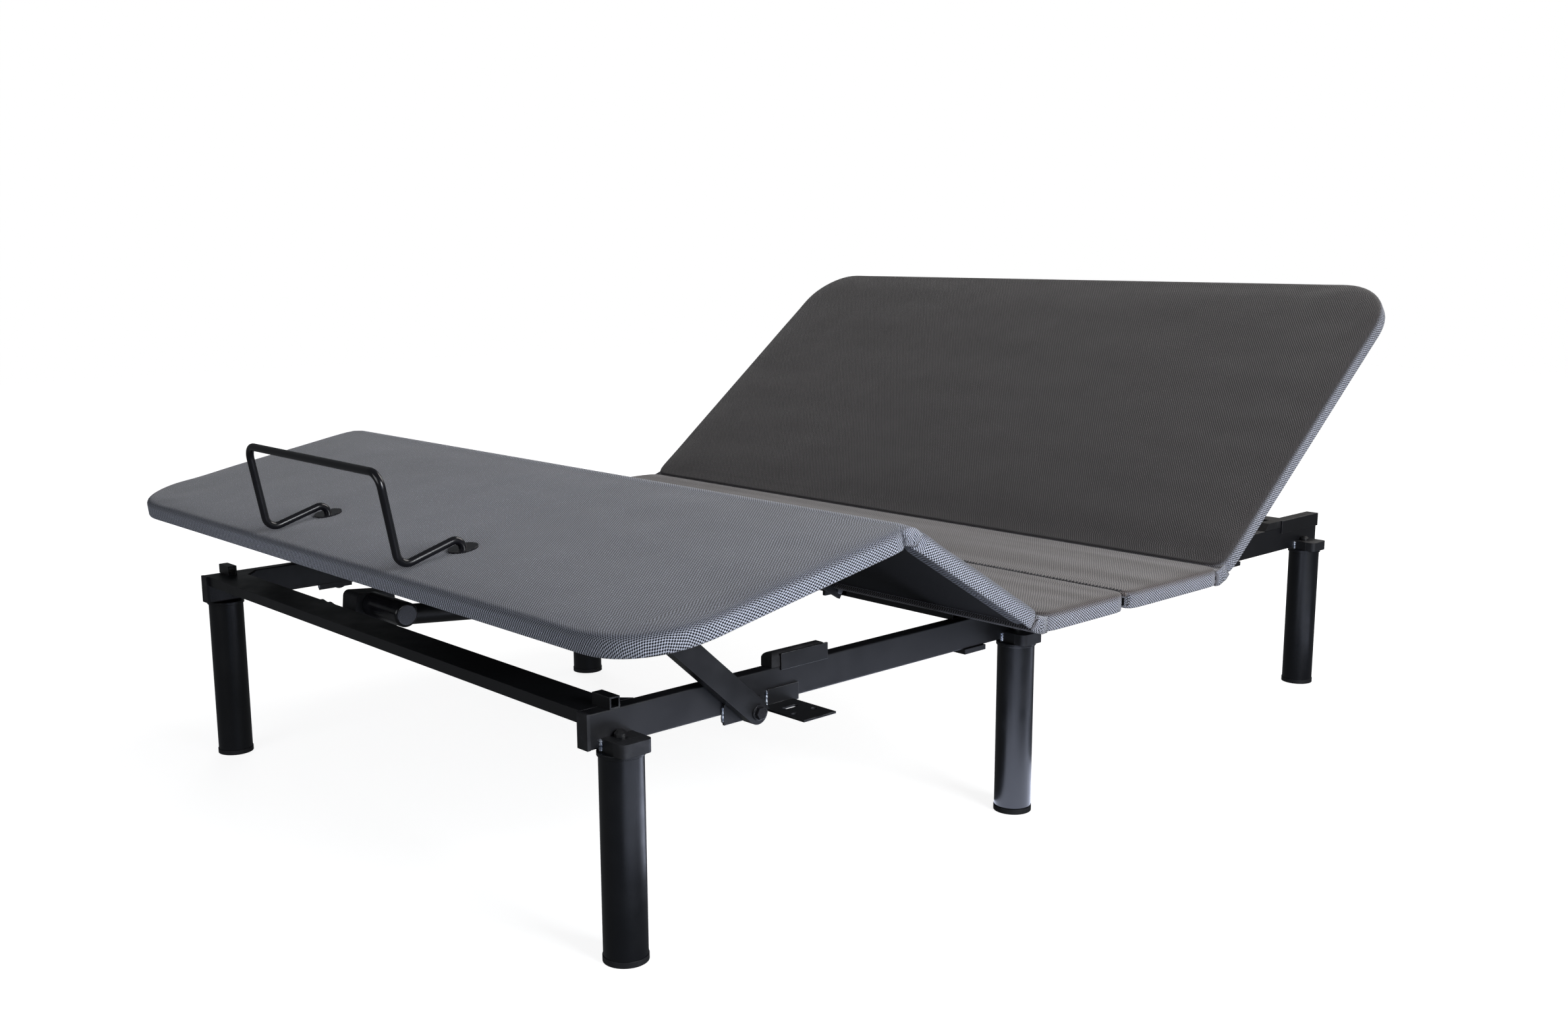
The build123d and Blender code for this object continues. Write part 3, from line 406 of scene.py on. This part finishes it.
def corner_path(corners, index, count):
    """count+1 places from the middle of one corner's arc to the next, with outward angles."""
    (x0, y0, r0), (x1, y1, r1) = corners[index], corners[(index + 1) % 4]
    first = radians(-45 + 90 * index)
    dense = []
    for t in np.linspace(0, pi / 4, 14):
        dense.append((x0 + r0 * cos(first + t), y0 + r0 * sin(first + t), first + t))
    straight = first + pi / 4
    a, b = dense[-1], (x1 + r1 * cos(straight), y1 + r1 * sin(straight))
    for t in np.linspace(0, 1, 40)[1:]:
        dense.append((a[0] + (b[0] - a[0]) * t, a[1] + (b[1] - a[1]) * t, straight))
    for t in np.linspace(0, pi / 4, 14)[1:]:
        dense.append((x1 + r1 * cos(straight + t), y1 + r1 * sin(straight + t), straight + t))
    dense = np.array(dense)
    length = np.concatenate([[0], np.cumsum(np.hypot(*np.diff(dense[:, :2], axis=0).T))])
    want = np.linspace(0, length[-1], count + 1)
    return np.stack([np.interp(want, length, dense[:, k]) for k in range(3)], 1)


def cover_mesh(name, start, end, low_inset, high_inset, cells):
    """Closed padded cover in panel coordinates, with a pocket below for the board. Returns the
    object, its points, which of them may swell (1) and their places on the flat fabric."""
    nx, ny = cells
    corners = []
    for x_sign, y_edge, inset, outward in ((1, start, low_inset, -1), (1, end, high_inset, 1),
                                           (-1, end, high_inset, 1), (-1, start, low_inset, -1)):
        radius = CORNER - SKIRT if inset == SKIRT else 0.001
        corners.append((x_sign * (HALF_WIDTH - SKIRT - radius),
                        y_edge - outward * (inset + radius), radius))
    rim = np.concatenate([corner_path(corners, k, count)[:-1]
                          for k, count in enumerate((ny, nx, ny, nx))])
    middle = (start + end) / 2
    inset_here = np.where(rim[:, 1] > middle, high_inset, low_inset)
    direction = np.stack([np.cos(rim[:, 2]) * SKIRT, np.sin(rim[:, 2]) * inset_here], 1)
    normal = np.stack([np.cos(rim[:, 2]), np.sin(rim[:, 2])], 1)
    free_end = np.where(inset_here == SKIRT, 1.0, 0.0)
    at_hinge = (free_end == 0) & (np.abs(normal[:, 0]) < 0.3)
    hem_width = 0.35 + 0.65 * np.clip(np.abs(normal[:, 0]) + free_end, 0, 1)
    inner_x = HALF_WIDTH - SKIRT - INNER_INSET
    low_y = start + low_inset + (INNER_INSET if low_inset == SKIRT else INNER_INSET_HINGE)
    high_y = end - high_inset - (INNER_INSET if high_inset == SKIRT else INNER_INSET_HINGE)
    xs, ys = np.linspace(-inner_x, inner_x, nx + 1), np.linspace(low_y, high_y, ny + 1)
    inner = ([(inner_x, y) for y in ys[:-1]] + [(x, high_y) for x in xs[:0:-1]]
             + [(-inner_x, y) for y in ys[:0:-1]] + [(x, low_y) for x in xs[:-1]])
    inner = np.array(inner)
    total = len(rim)
    points, faces, fabric = [], [], []

    def add(ring, height, depth):
        """A ring of points, whose fabric goes on outwards by its depth below the top's edge."""
        first = len(points)
        height = np.broadcast_to(height, total)
        for k, (x, y) in enumerate(ring):
            points.append((x, y, height[k]))
            fabric.append((x + normal[k, 0] * depth, y + normal[k, 1] * depth))
        return first

    def join(a, b):
        for k in range(total):
            n = (k + 1) % total
            faces.append((a + k, b + k, b + n, a + n))

    def fill(height, ring, flip):
        """Grid of the middle, whose border is a ring that exists already."""
        index = {}
        border = ([(nx, j) for j in range(ny)] + [(i, ny) for i in range(nx, 0, -1)]
                  + [(0, j) for j in range(ny, 0, -1)] + [(i, 0) for i in range(nx)])
        for k, ij in enumerate(border):
            index[ij] = ring + k
        for i in range(1, nx):
            for j in range(1, ny):
                index[(i, j)] = len(points)
                points.append((xs[i], ys[j], height))
                fabric.append((xs[i], ys[j]))
        for i in range(nx):
            for j in range(ny):
                quad = (index[(i, j)], index[(i + 1, j)], index[(i + 1, j + 1)],
                        index[(i, j + 1)])
                faces.append(quad[::-1] if flip else quad)

    previous = top_ring = add(inner, PAD, 0)
    for share in TOP_SHARES:
        ring = add(inner + (rim[:, :2] - inner) * share, PAD, 0)
        join(previous, ring)
        previous = ring
    depth, last = 0.0, (0.0, PAD)
    for share, extra, height in EDGE_PROFILE:
        offset = share * SKIRT + extra
        depth += hypot(offset - last[0], height - last[1])
        last = (offset, height)
        scale = np.where(extra < -0.001, hem_width, 1.0)
        if height < BOARD_LOW:
            height = np.where(at_hinge, HEM_AT_HINGE + 0.02 * height, height)
        place = rim[:, :2] + direction * share + normal * (extra * scale)[:, None]
        ring = add(place, height, depth)
        join(previous, ring)
        previous = ring
    ceiling = add(inner, POCKET_TOP, depth)
    join(previous, ceiling)
    fill(PAD, top_ring, False)
    fill(POCKET_TOP, ceiling, True)
    obj = new_object(name, points, faces, COOL)
    free = np.zeros(len(points))
    free[:total * (1 + len(TOP_SHARES) + PINNED_FROM)] = 1
    top_fill = (nx - 1) * (ny - 1)
    fill_start = len(points) - 2 * top_fill
    free[fill_start:fill_start + top_fill] = 1
    return obj, np.array(points), free, np.array(fabric)


def swell(obj, free, cap, frames=20):
    """Inflates the padded cover with a cloth simulation and keeps each move under cap."""
    rest = coords(obj)
    group = obj.vertex_groups.new(name="pin")
    group.add([int(i) for i in np.where(free < 0.5)[0]], 1.0, "REPLACE")
    cloth = obj.modifiers.new("cloth", "CLOTH")
    settings = cloth.settings
    settings.quality = 5
    settings.mass = 0.25
    settings.tension_stiffness = settings.compression_stiffness = 30
    settings.bending_stiffness = 8
    settings.vertex_group_mass = "pin"
    settings.use_pressure = True
    settings.uniform_pressure_force = 4.0
    settings.effector_weights.gravity = 0.0
    cloth.collision_settings.use_collision = False
    cloth.collision_settings.use_self_collision = False
    cloth.point_cache.frame_start, cloth.point_cache.frame_end = 1, frames
    for f in range(1, frames + 1):
        scene.frame_set(f)
    apply_all(obj)
    scene.frame_set(1)
    move = coords(obj) - rest
    obj.vertex_groups.clear()
    size = np.linalg.norm(move, axis=1, keepdims=True)
    return move * (cap * np.tanh(size / cap) / np.maximum(size, 1e-9))


def place_panel(obj, origin, tilt):
    obj.matrix_world = (Matrix.Translation((0, *origin))
                        @ Matrix.Rotation(radians(tilt), 4, "X"))


KNEE_INSET, CREASE_INSET, SEAM_INSET = 0.0015, 0.0050, 0.0032
KNEE_GAP, SEAM_GAP = 0.0007, 0.001  # from the knee or the seam to each of its panels
THIGH_GAP, HEAD_GAP = 0.009, 0.007  # from those hinges to the panels that turn about them
MOST_SWELL = 0.0032  # how far the simulation may move a point
SWELL_SIDEWAYS, SWELL_UP = 0.55, 0.75  # the shares of that move that are kept
AT_HINGE = 0.12  # the share of the upward move that is left at a hinge or the seam
SUNK = 0.0006  # how far a cover's top starts below its full thickness
GROMMET_AT = (0.2045, 0.121 - FOOT_L)
DIMPLE, DIMPLE_R = 0.0022, 0.035  # depth and radius of the hollow round each grommet
covers = {
    # name: start, end, insets, cells, plane, material, body
    "foot": (-FOOT_L, -KNEE_GAP, SKIRT, KNEE_INSET, (60, 18),
             (KNEE_PIVOT, FOOT_TILT), COOL, "foot"),
    "thigh": (KNEE_GAP - THIGH_L, -THIGH_GAP, KNEE_INSET, CREASE_INSET, (60, 14),
              (THIGH_PIVOT, THIGH_TILT), COOL, "thigh"),
    "seat_foot_half": (SEAT_START, SEAM - SEAM_GAP, CREASE_INSET, SEAM_INSET, (60, 9),
                       ((0, SEAT_Z), 0), FABRIC_PAINTED_WARM_LIGHT, "frame"),
    "seat_head_half": (SEAM + SEAM_GAP, SEAT_END, SEAM_INSET, CREASE_INSET, (60, 11),
                       ((0, SEAT_Z), 0), FABRIC_PAINTED_WARM_LIGHT, "frame"),
    "head": (HEAD_GAP, HEAD_L, CREASE_INSET, SKIRT, (60, 28),
             (HEAD_UNDER, HEAD_TILT), FABRIC_PAINTED_SHADE, "head"),
}
for name, (start, end, low, high, cells, plane, material, body) in covers.items():
    obj, base, free, fabric = cover_mesh(name + "_padded_cover", start, end, low, high, cells)
    move = swell(obj, free, MOST_SWELL)
    x, y, z = base.T
    # the swelling dies away towards a hinge or the seam; a free end counts as far away
    far = 9
    from_hinge = np.minimum(np.where(low < SKIRT, y - start, far),
                            np.where(high < SKIRT, end - y, far))
    move[:, 1] *= smoothstep(0.004, 0.05, from_hinge)
    move[:, 2] *= AT_HINGE + (1 - AT_HINGE) * smoothstep(0.0, 0.09, from_hinge)
    move[:, 0] *= SWELL_SIDEWAYS
    move[:, 2] *= SWELL_UP
    if name == "foot":
        for side in (-1, 1):
            away = np.hypot(x - side * GROMMET_AT[0], y - GROMMET_AT[1])
            dimple = DIMPLE * np.exp(-(away / DIMPLE_R) ** 2)
            move[:, 2] -= np.where(z > 0.028, dimple, 0)
    co = base + move
    swollen = free > 0.5
    co[swollen, 2] -= SUNK
    set_coords(obj, co)
    # share of the paler side colour, painted light: on the sides below the top's edge, and all of
    # it where the cover is pinned
    side_share = smoothstep(0.0285, 0.020, z) * swollen + (~swollen)
    set_vector(obj, "weave", np.stack([fabric[:, 0], fabric[:, 1], side_share], 1))
    obj.modifiers.new("smooth", "SUBSURF").levels = 1
    apply_all(obj)
    finish_with(obj, material)
    obj.data.shade_smooth()
    place_panel(obj, *plane)
    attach(obj, body)
    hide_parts(name + "_cover")

# ---- fabric over the hinges ------------------------------------------------------------------
OVERLAP = 0.012  # how far a strip reaches into each of its panels
STRIP_X, SHOULDER_X = 0.756, 0.7585  # where the strip's flat part and its rounded edge end
SIDE_X = 0.7624  # the strip's sides stand a little proud of the panels' sides
TUCK = 0.0045  # how far the ends of those sides are drawn in, inside the panels
STRIP_SUNK = 0.0020  # from the panels' tops down to a valley strip's ends


def loop_section(xs, bottom, top, edge_x):
    """One closed loop across the bed: along the bottom, up one side, along the top, down."""
    loop = [(x, bottom(x)) for x in xs]
    heights = [0.25, 0.5, 0.75]
    top_right, top_left = top(xs[-1]), top(xs[0])
    low = bottom(edge_x)
    loop += [(edge_x, low + (top_right - low) * h) for h in heights]
    loop += [(x, top(x)) for x in reversed(xs)]
    loop += [(-edge_x, low + (top_left - low) * h) for h in reversed(heights)]
    return loop


def crease(name, pivot, lean, columns, bottom_of, top_of, edge_of, material):
    """Fabric that fills the gap at a hinge. Its own frame stands on the
    pivot line: n runs across the gap towards the head end and m up along the bisector."""
    xs = [-SHOULDER_X, *np.linspace(-STRIP_X, STRIP_X, 61), SHOULDER_X]
    c, s = cos(radians(lean)), sin(radians(lean))
    points, faces, weave = [], [], []
    count = len(columns)
    for index, n_of in enumerate(columns):
        share = index / (count - 1)
        loop = loop_section(xs, lambda x: bottom_of(share, x), lambda x: top_of(share, x),
                            edge_of(share))
        size = len(loop)
        for x, m in loop:
            n = n_of(m)
            points.append((x, pivot[0] + n * c - m * s, pivot[1] + n * s + m * c))
            # the crease's sides take the paler side colour, painted light, and its top a quarter
            # of it
            side = 1.0 if abs(x) > SHOULDER_X - 0.0002 else 0.0
            weave.append((x + np.sign(x) * side * (PAD - m), n * 1.6, 0.25 + 0.75 * side))
    for a in range(count - 1):
        for k in range(size):
            n = (k + 1) % size
            faces.append((a * size + k, a * size + n, (a + 1) * size + n, (a + 1) * size + k))
    faces.append(tuple(range(size - 1, -1, -1)))
    faces.append(tuple((count - 1) * size + k for k in range(size)))
    obj = new_object(name, points, faces, material)
    set_vector(obj, "weave", weave)
    fix_normals(obj)
    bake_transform(obj)


# knee: a ridge, tangent to both top planes. A column's share goes from 0 in the foot to 1 in
# the thigh; the ridge takes the middle 78 % of it, and the overlaps 11 % each.
KNEE_LEAN = (THIGH_TILT + FOOT_TILT) / 2
KNEE_HALF = (FOOT_TILT - THIGH_TILT) / 2
RIDGE_R = PAD - 0.0005
RIDGE_SHARE, INSIDE_SHARE = 0.78, 0.22


def knee_column(share):
    """Across the knee: OVERLAP inside the foot panel, round the ridge, as far into the thigh."""
    side = 2 * share - 1
    sign = 1 if side > 0 else -1
    turned = radians(KNEE_HALF) * max(-1.0, min(1.0, side / RIDGE_SHARE))
    inside = OVERLAP * max(0.0, abs(side) - RIDGE_SHARE) / INSIDE_SHARE * sign
    gap = 0.0008 * sign * min(1, abs(side) / RIDGE_SHARE)
    return lambda m: m * tan(turned) + (gap + inside) / cos(radians(KNEE_HALF))


def knee_bottom(share, x):
    """Low at the sides, where it shows, and above the parts that pass under it elsewhere."""
    return 0.0015 if abs(x) > 0.74 else 0.0066


def knee_top(share, x):
    side = abs(2 * share - 1)
    turned = radians(KNEE_HALF) * min(1.0, side / RIDGE_SHARE)
    inside = max(0.0, side - RIDGE_SHARE) / INSIDE_SHARE
    rounded = 0.0035 * smoothstep(0.752, SHOULDER_X, abs(x))
    level = (RIDGE_R - rounded) * cos(turned)
    return level - inside * (OVERLAP * sin(radians(KNEE_HALF)) + 0.0014)


def knee_edge(share):
    """The side of the knee, drawn in a little over the ridge."""
    return (SIDE_X - 0.0012 * sin(pi * share) ** 6
            - TUCK * max(0, abs(2 * share - 1) - 0.9) / 0.1)


crease("knee_ridge_fabric", KNEE_PIVOT, KNEE_LEAN,
       [knee_column(share) for share in np.linspace(0, 1, 19)],
       knee_bottom, knee_top, knee_edge, COOL)


def valley_columns(half_angle, gap, band_half):
    """Columns across a valley: both end faces, two inside each panel, and between the faces the
    band, which bends. The gap is from the pivot line to each panel's end."""
    def face(side, inside=0.0):
        def n_of(m):
            base = gap / cos(radians(half_angle)) - m * tan(radians(half_angle))
            return side * (max(base, 0.0002) + inside)
        return n_of

    low, high = face(-1), face(1)

    def in_band(at):
        return lambda m: min(max(at, low(m)), high(m))

    def halfway(end_face, at):
        return lambda m: end_face(m) * 0.5 + at * 0.5

    return ([face(-1, OVERLAP), face(-1, OVERLAP / 2), low, halfway(low, -band_half)]
            + [in_band(at) for at in np.linspace(-band_half, band_half, 7)]
            + [halfway(high, band_half), high, face(1, OVERLAP / 2), face(1, OVERLAP)])


def valley_bottom(low, half_angle):
    """Level in the valley, rising with the panels' undersides where it reaches into them: the
    last two of the 15 columns at each end."""
    def bottom_of(share, x):
        reached = max(0.0, abs(2 * share - 1) - 5 / 7) * 7 / 2
        return low + reached * OVERLAP * tan(radians(half_angle))
    return bottom_of


def valley_top(hollow_mid, hollow_side, lowered=0.0):
    """Level with the panels at its ends and hollow between them, less so near the sides."""
    def top_of(share, x):
        hollow = 1 - abs(2 * share - 1) ** 2
        side = smoothstep(0.725, 0.752, abs(x))
        return (PAD - STRIP_SUNK - hollow * (hollow_mid * (1 - side) + hollow_side * side)
                - lowered)
    return top_of


def ruffled(amount):
    """The side of a crease, gathered into five small folds."""
    def edge_of(share):
        tucked = TUCK * max(0.0, abs(2 * share - 1) - 0.86) / 0.14
        return SIDE_X - amount * (0.5 - 0.5 * cos(share * 5 * 2 * pi)) - tucked
    return edge_of


THIGH_HALF, HEAD_HALF = -THIGH_TILT / 2, HEAD_TILT / 2
THIGH_BAND, HEAD_BAND = 0.0009, 0.003  # half the width that bends
crease("thigh_crease_fabric", THIGH_PIVOT, -THIGH_HALF,
       valley_columns(THIGH_HALF, THIGH_GAP * cos(radians(THIGH_HALF)) ** 2, THIGH_BAND),
       valley_bottom(0.0015, THIGH_HALF), valley_top(0.0035, 0.0005), ruffled(0.0022),
       FABRIC_PAINTED_WARM_LIGHT)
crease("head_crease_fabric", HEAD_PIVOT, HEAD_HALF,
       valley_columns(HEAD_HALF, HEAD_GAP * cos(radians(HEAD_HALF)) ** 2, HEAD_BAND),
       valley_bottom(-0.0132, HEAD_HALF), valley_top(0.0020, 0.0003, PAD / 2), ruffled(0.0018),
       FABRIC_PAINTED_WARM_LIGHT)


# ---- tubes -----------------------------------------------------------------------------------
def tube_mesh(path, radius_at, sides):
    """Points and faces of a closed tube along a path of points. The radius depends on the share
    of the path's points that lie behind."""
    points, faces = [], []
    path = [Vector(p) for p in path]
    for k, p in enumerate(path):
        ahead = (path[min(k + 1, len(path) - 1)] - path[max(k - 1, 0)]).normalized()
        side = ahead.cross(Vector((0, 0, 1)))
        if side.length <= 0.1:
            side = ahead.cross(Vector((1, 0, 0)))
        side.normalize()
        over = side.cross(ahead)
        r = radius_at(k / (len(path) - 1))
        for j in range(sides):
            a = 2 * pi * j / sides
            points.append(p + side * (r * cos(a)) + over * (r * sin(a)))
    for k in range(len(path) - 1):
        for j in range(sides):
            n = (j + 1) % sides
            faces.append((k * sides + j, k * sides + n, (k + 1) * sides + n, (k + 1) * sides + j))
    faces.append(tuple(range(sides - 1, -1, -1)))
    faces.append(tuple((len(path) - 1) * sides + j for j in range(sides)))
    return points, faces


def many(name, parts, material):
    """One object on the frame out of several (points, faces) pairs."""
    points, faces = [], []
    for p, f in parts:
        first = len(points)
        points += list(p)
        faces += [tuple(i + first for i in face) for face in f]
    obj = new_object(name, points, faces, material)
    fix_normals(obj)
    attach(obj, "frame")
    return obj


# ---- seam between the seat halves: cross stitches over it, and a strip sunk in it -------------
STITCH_STEP, SIDE_STITCH_STEP = 0.0065, 0.0045
JITTER, STITCH_RISE = 0.0006, 0.0002  # how unevenly the stitches lie, sideways and in height
TOP_STITCH = [(-0.0050, 0.3832), (-0.0038, 0.3845), (-0.0016, 0.3834), (0, 0.3824),
              (0.0016, 0.3834), (0.0038, 0.3845), (0.0050, 0.3832)]  # (beside the seam, Z)
SIDE_STITCH = [(0.7608, -0.0046, -0.0008), (0.7616, -0.003, 0), (0.7590, 0, 0.0004),
               (0.7616, 0.003, 0.001), (0.7608, 0.0046, 0.0014)]  # (X, beside the seam, up)


def thread_radius(share):
    return 0.0006 + 0.0003 * sin(pi * share)


stitches = []
for x in np.arange(-0.745, 0.7455, STITCH_STEP):
    jitter = rng.uniform(-JITTER, JITTER, 3)
    rise = STITCH_RISE * jitter[0] / JITTER
    path = [(x + n * 0.25 + jitter[1], SEAM + n, z + rise) for n, z in TOP_STITCH]
    stitches.append(tube_mesh(path, thread_radius, 6))
for side in (-1, 1):
    for z in np.arange(0.3635, 0.379, SIDE_STITCH_STEP):
        path = [(side * x, SEAM + n, z + up_by) for x, n, up_by in SIDE_STITCH]
        stitches.append(tube_mesh(path, thread_radius, 6))
many("seam_stitches", stitches, THREAD)

strip_path = [(x, SEAM, 0.3785 + 0.0004 * sin(x * 310)) for x in np.linspace(-0.757, 0.757, 121)]
strip = many("seam_strip", [tube_mesh(strip_path, lambda share: 0.0030, 10)], FABRIC_PAINTED_WARM_LIGHT)
set_vector(strip, "weave", coords(strip) * np.array([1, 1, 0]))


# ---- weld beads ------------------------------------------------------------------------------
RAIL_X, HEAD_X = 0.582, 0.516  # outer faces of the side rails and of the head-end rails
ARM_BEADS = ((-0.7125, 0.280, 0.304, 0.0021), (-0.6445, 0.282, 0.302, 0.0020),
             (-0.6318, 0.287, 0.310, 0.0021))  # (Y, low Z, high Z, radius)
LEG_BRACKETS = ((-0.891, RAIL_X), (-0.091, RAIL_X), (0.949, HEAD_X))  # (Y, rail's outer face)
LEG_BEADS = ((-0.0255, 0.0028), (0.0255, 0.0026))  # (beside the bracket's middle, radius)
LEG_BEAD_LOW, LEG_BEAD_HIGH = 0.2865, 0.3035
RIPPLE = 0.0016  # length of one ripple of a bead


def bead(x, y, low, high, radius):
    """An upright weld bead: a row of overlapping ripples."""
    start, end = Vector((x, y, low)), Vector((x, y, high))
    ripples = max(4, int((end - start).length / RIPPLE))
    steps = ripples * 4
    path = [start + (end - start) * (k / steps) for k in range(steps + 1)]

    def radius_at(t):
        fade = min(1.0, 6 * min(t, 1 - t) + 0.35)
        return radius * fade * (1 + 0.16 * abs(sin(pi * t * ripples)) + 0.12 * sin(23 * t + 1))
    return tube_mesh(path, radius_at, 8)


welds = []
for side in (-1, 1):
    welds += [bead(side * (RAIL_X + 0.0006), *place) for place in ARM_BEADS]
    welds += [bead(side * (outer + 0.0004), y + beside, LEG_BEAD_LOW, LEG_BEAD_HIGH, radius)
              for y, outer in LEG_BRACKETS for beside, radius in LEG_BEADS]
many("weld_beads", welds, WELD)

# ---- floor and backdrop ----------------------------------------------------------------------
FLOOR_HALF, FLOOR_Z, DOME_R = 9, -0.0005, 30
WHITE, BLACK = rgb(1, 1, 1), rgb(0, 0, 0)
paper = Shader("pale_floor", Roughness=0.8, Emission_Color=WHITE)
paper.set("Base Color", paper.mix(paper.noise(paper.place(), 3.0), rgb(0.40, 0.40, 0.405),
                                  rgb(0.42, 0.42, 0.42)))
away = paper.node("VectorMath", {"operation": "LENGTH"}, i0=paper.place()).outputs["Value"]
paper.set("Emission Strength", paper.remap(away, 0.6, 3.2, 0.86, 1.0))
floor_corners = [(x * FLOOR_HALF, y * FLOOR_HALF, FLOOR_Z)
                 for x, y in ((-1, -1), (1, -1), (1, 1), (-1, 1))]
floor = new_object("floor", floor_corners, [(0, 1, 2, 3)], paper.material)

card = Shader("white_backdrop", Roughness=1.0, Base_Color=BLACK, Emission_Color=WHITE,
              Emission_Strength=1.0)
dome = new_object("backdrop", [], [], card.material)
dome_mesh = bmesh.new()
bmesh.ops.create_uvsphere(dome_mesh, u_segments=48, v_segments=24, radius=DOME_R)
dome_mesh.to_mesh(dome.data)
dome_mesh.free()
for stage in (floor, dome):
    stage.visible_diffuse = stage.visible_glossy = stage.visible_transmission = False
dome.visible_shadow = False

# ---- light -----------------------------------------------------------------------------------
world = bpy.data.worlds.new("studio")
scene.world = world
world.use_nodes = True
background = world.node_tree.nodes["Background"]
background.inputs["Color"].default_value = rgb(0.92, 0.96, 1.0)
background.inputs["Strength"].default_value = 0.11

GLINT_BLUE = (0.74, 0.80, 1.0)
SOFTBOXES = (
    # name, place, aim, (width, height), watts, colour, what it lights
    ("key", (3.4, -0.4, 1.5), (0.3, -0.2, 0.3), (1.4, 1.4), 98, (0.95, 0.97, 1.0), "all"),
    ("overhead", (0.3, 2.2, 2.8), (0, -0.3, 0.3), (2.2, 2.2), 60, (1.0, 0.96, 0.92), "all"),
    ("front", (0.2, -2.9, 1.1), (0, 0.1, 0.3), (1.4, 1.0), 11, (0.96, 0.97, 1.0), "all"),
    ("far_side", (-3.2, 0.9, 1.3), (0, 0.2, 0.3), (1.6, 1.2), 22, (0.97, 0.98, 1.0), "diffuse"),
    ("glint_near", (1.20, -0.76, 0.01), (1.20, -0.76, 1.0), (0.45, 0.9), 2.4, GLINT_BLUE,
     "gloss"),
    ("glint_far", (1.00, 0.60, 0.01), (1.00, 0.60, 1.0), (0.30, 1.0), 1.8, GLINT_BLUE, "gloss"),
    ("glint_far_rail", (0.74, -0.22, 0.01), (0.74, -0.22, 1.0), (0.36, 0.7), 2.6, GLINT_BLUE,
     "gloss"),
    ("leg_strip", (3.2, -1.45, 0.55), (0.6, -0.2, 0.15), (0.30, 1.0), 5.0, (0.55, 0.68, 1.0),
     "gloss"),
)
for name, at, aim, size, watts, colour, lights_up in SOFTBOXES:
    data = bpy.data.lights.new(name, "AREA")
    data.shape, data.size, data.size_y = "RECTANGLE", *size
    data.energy, data.color = watts, colour
    light = bpy.data.objects.new(name, data)
    scene.collection.objects.link(light)
    light.rotation_mode = "QUATERNION"
    light.location = at
    light.rotation_quaternion = (Vector(aim) - Vector(at)).to_track_quat("-Z", "Y")
    if lights_up == "gloss":
        light.visible_diffuse = light.visible_camera = False
    elif lights_up == "diffuse":
        light.visible_glossy = False
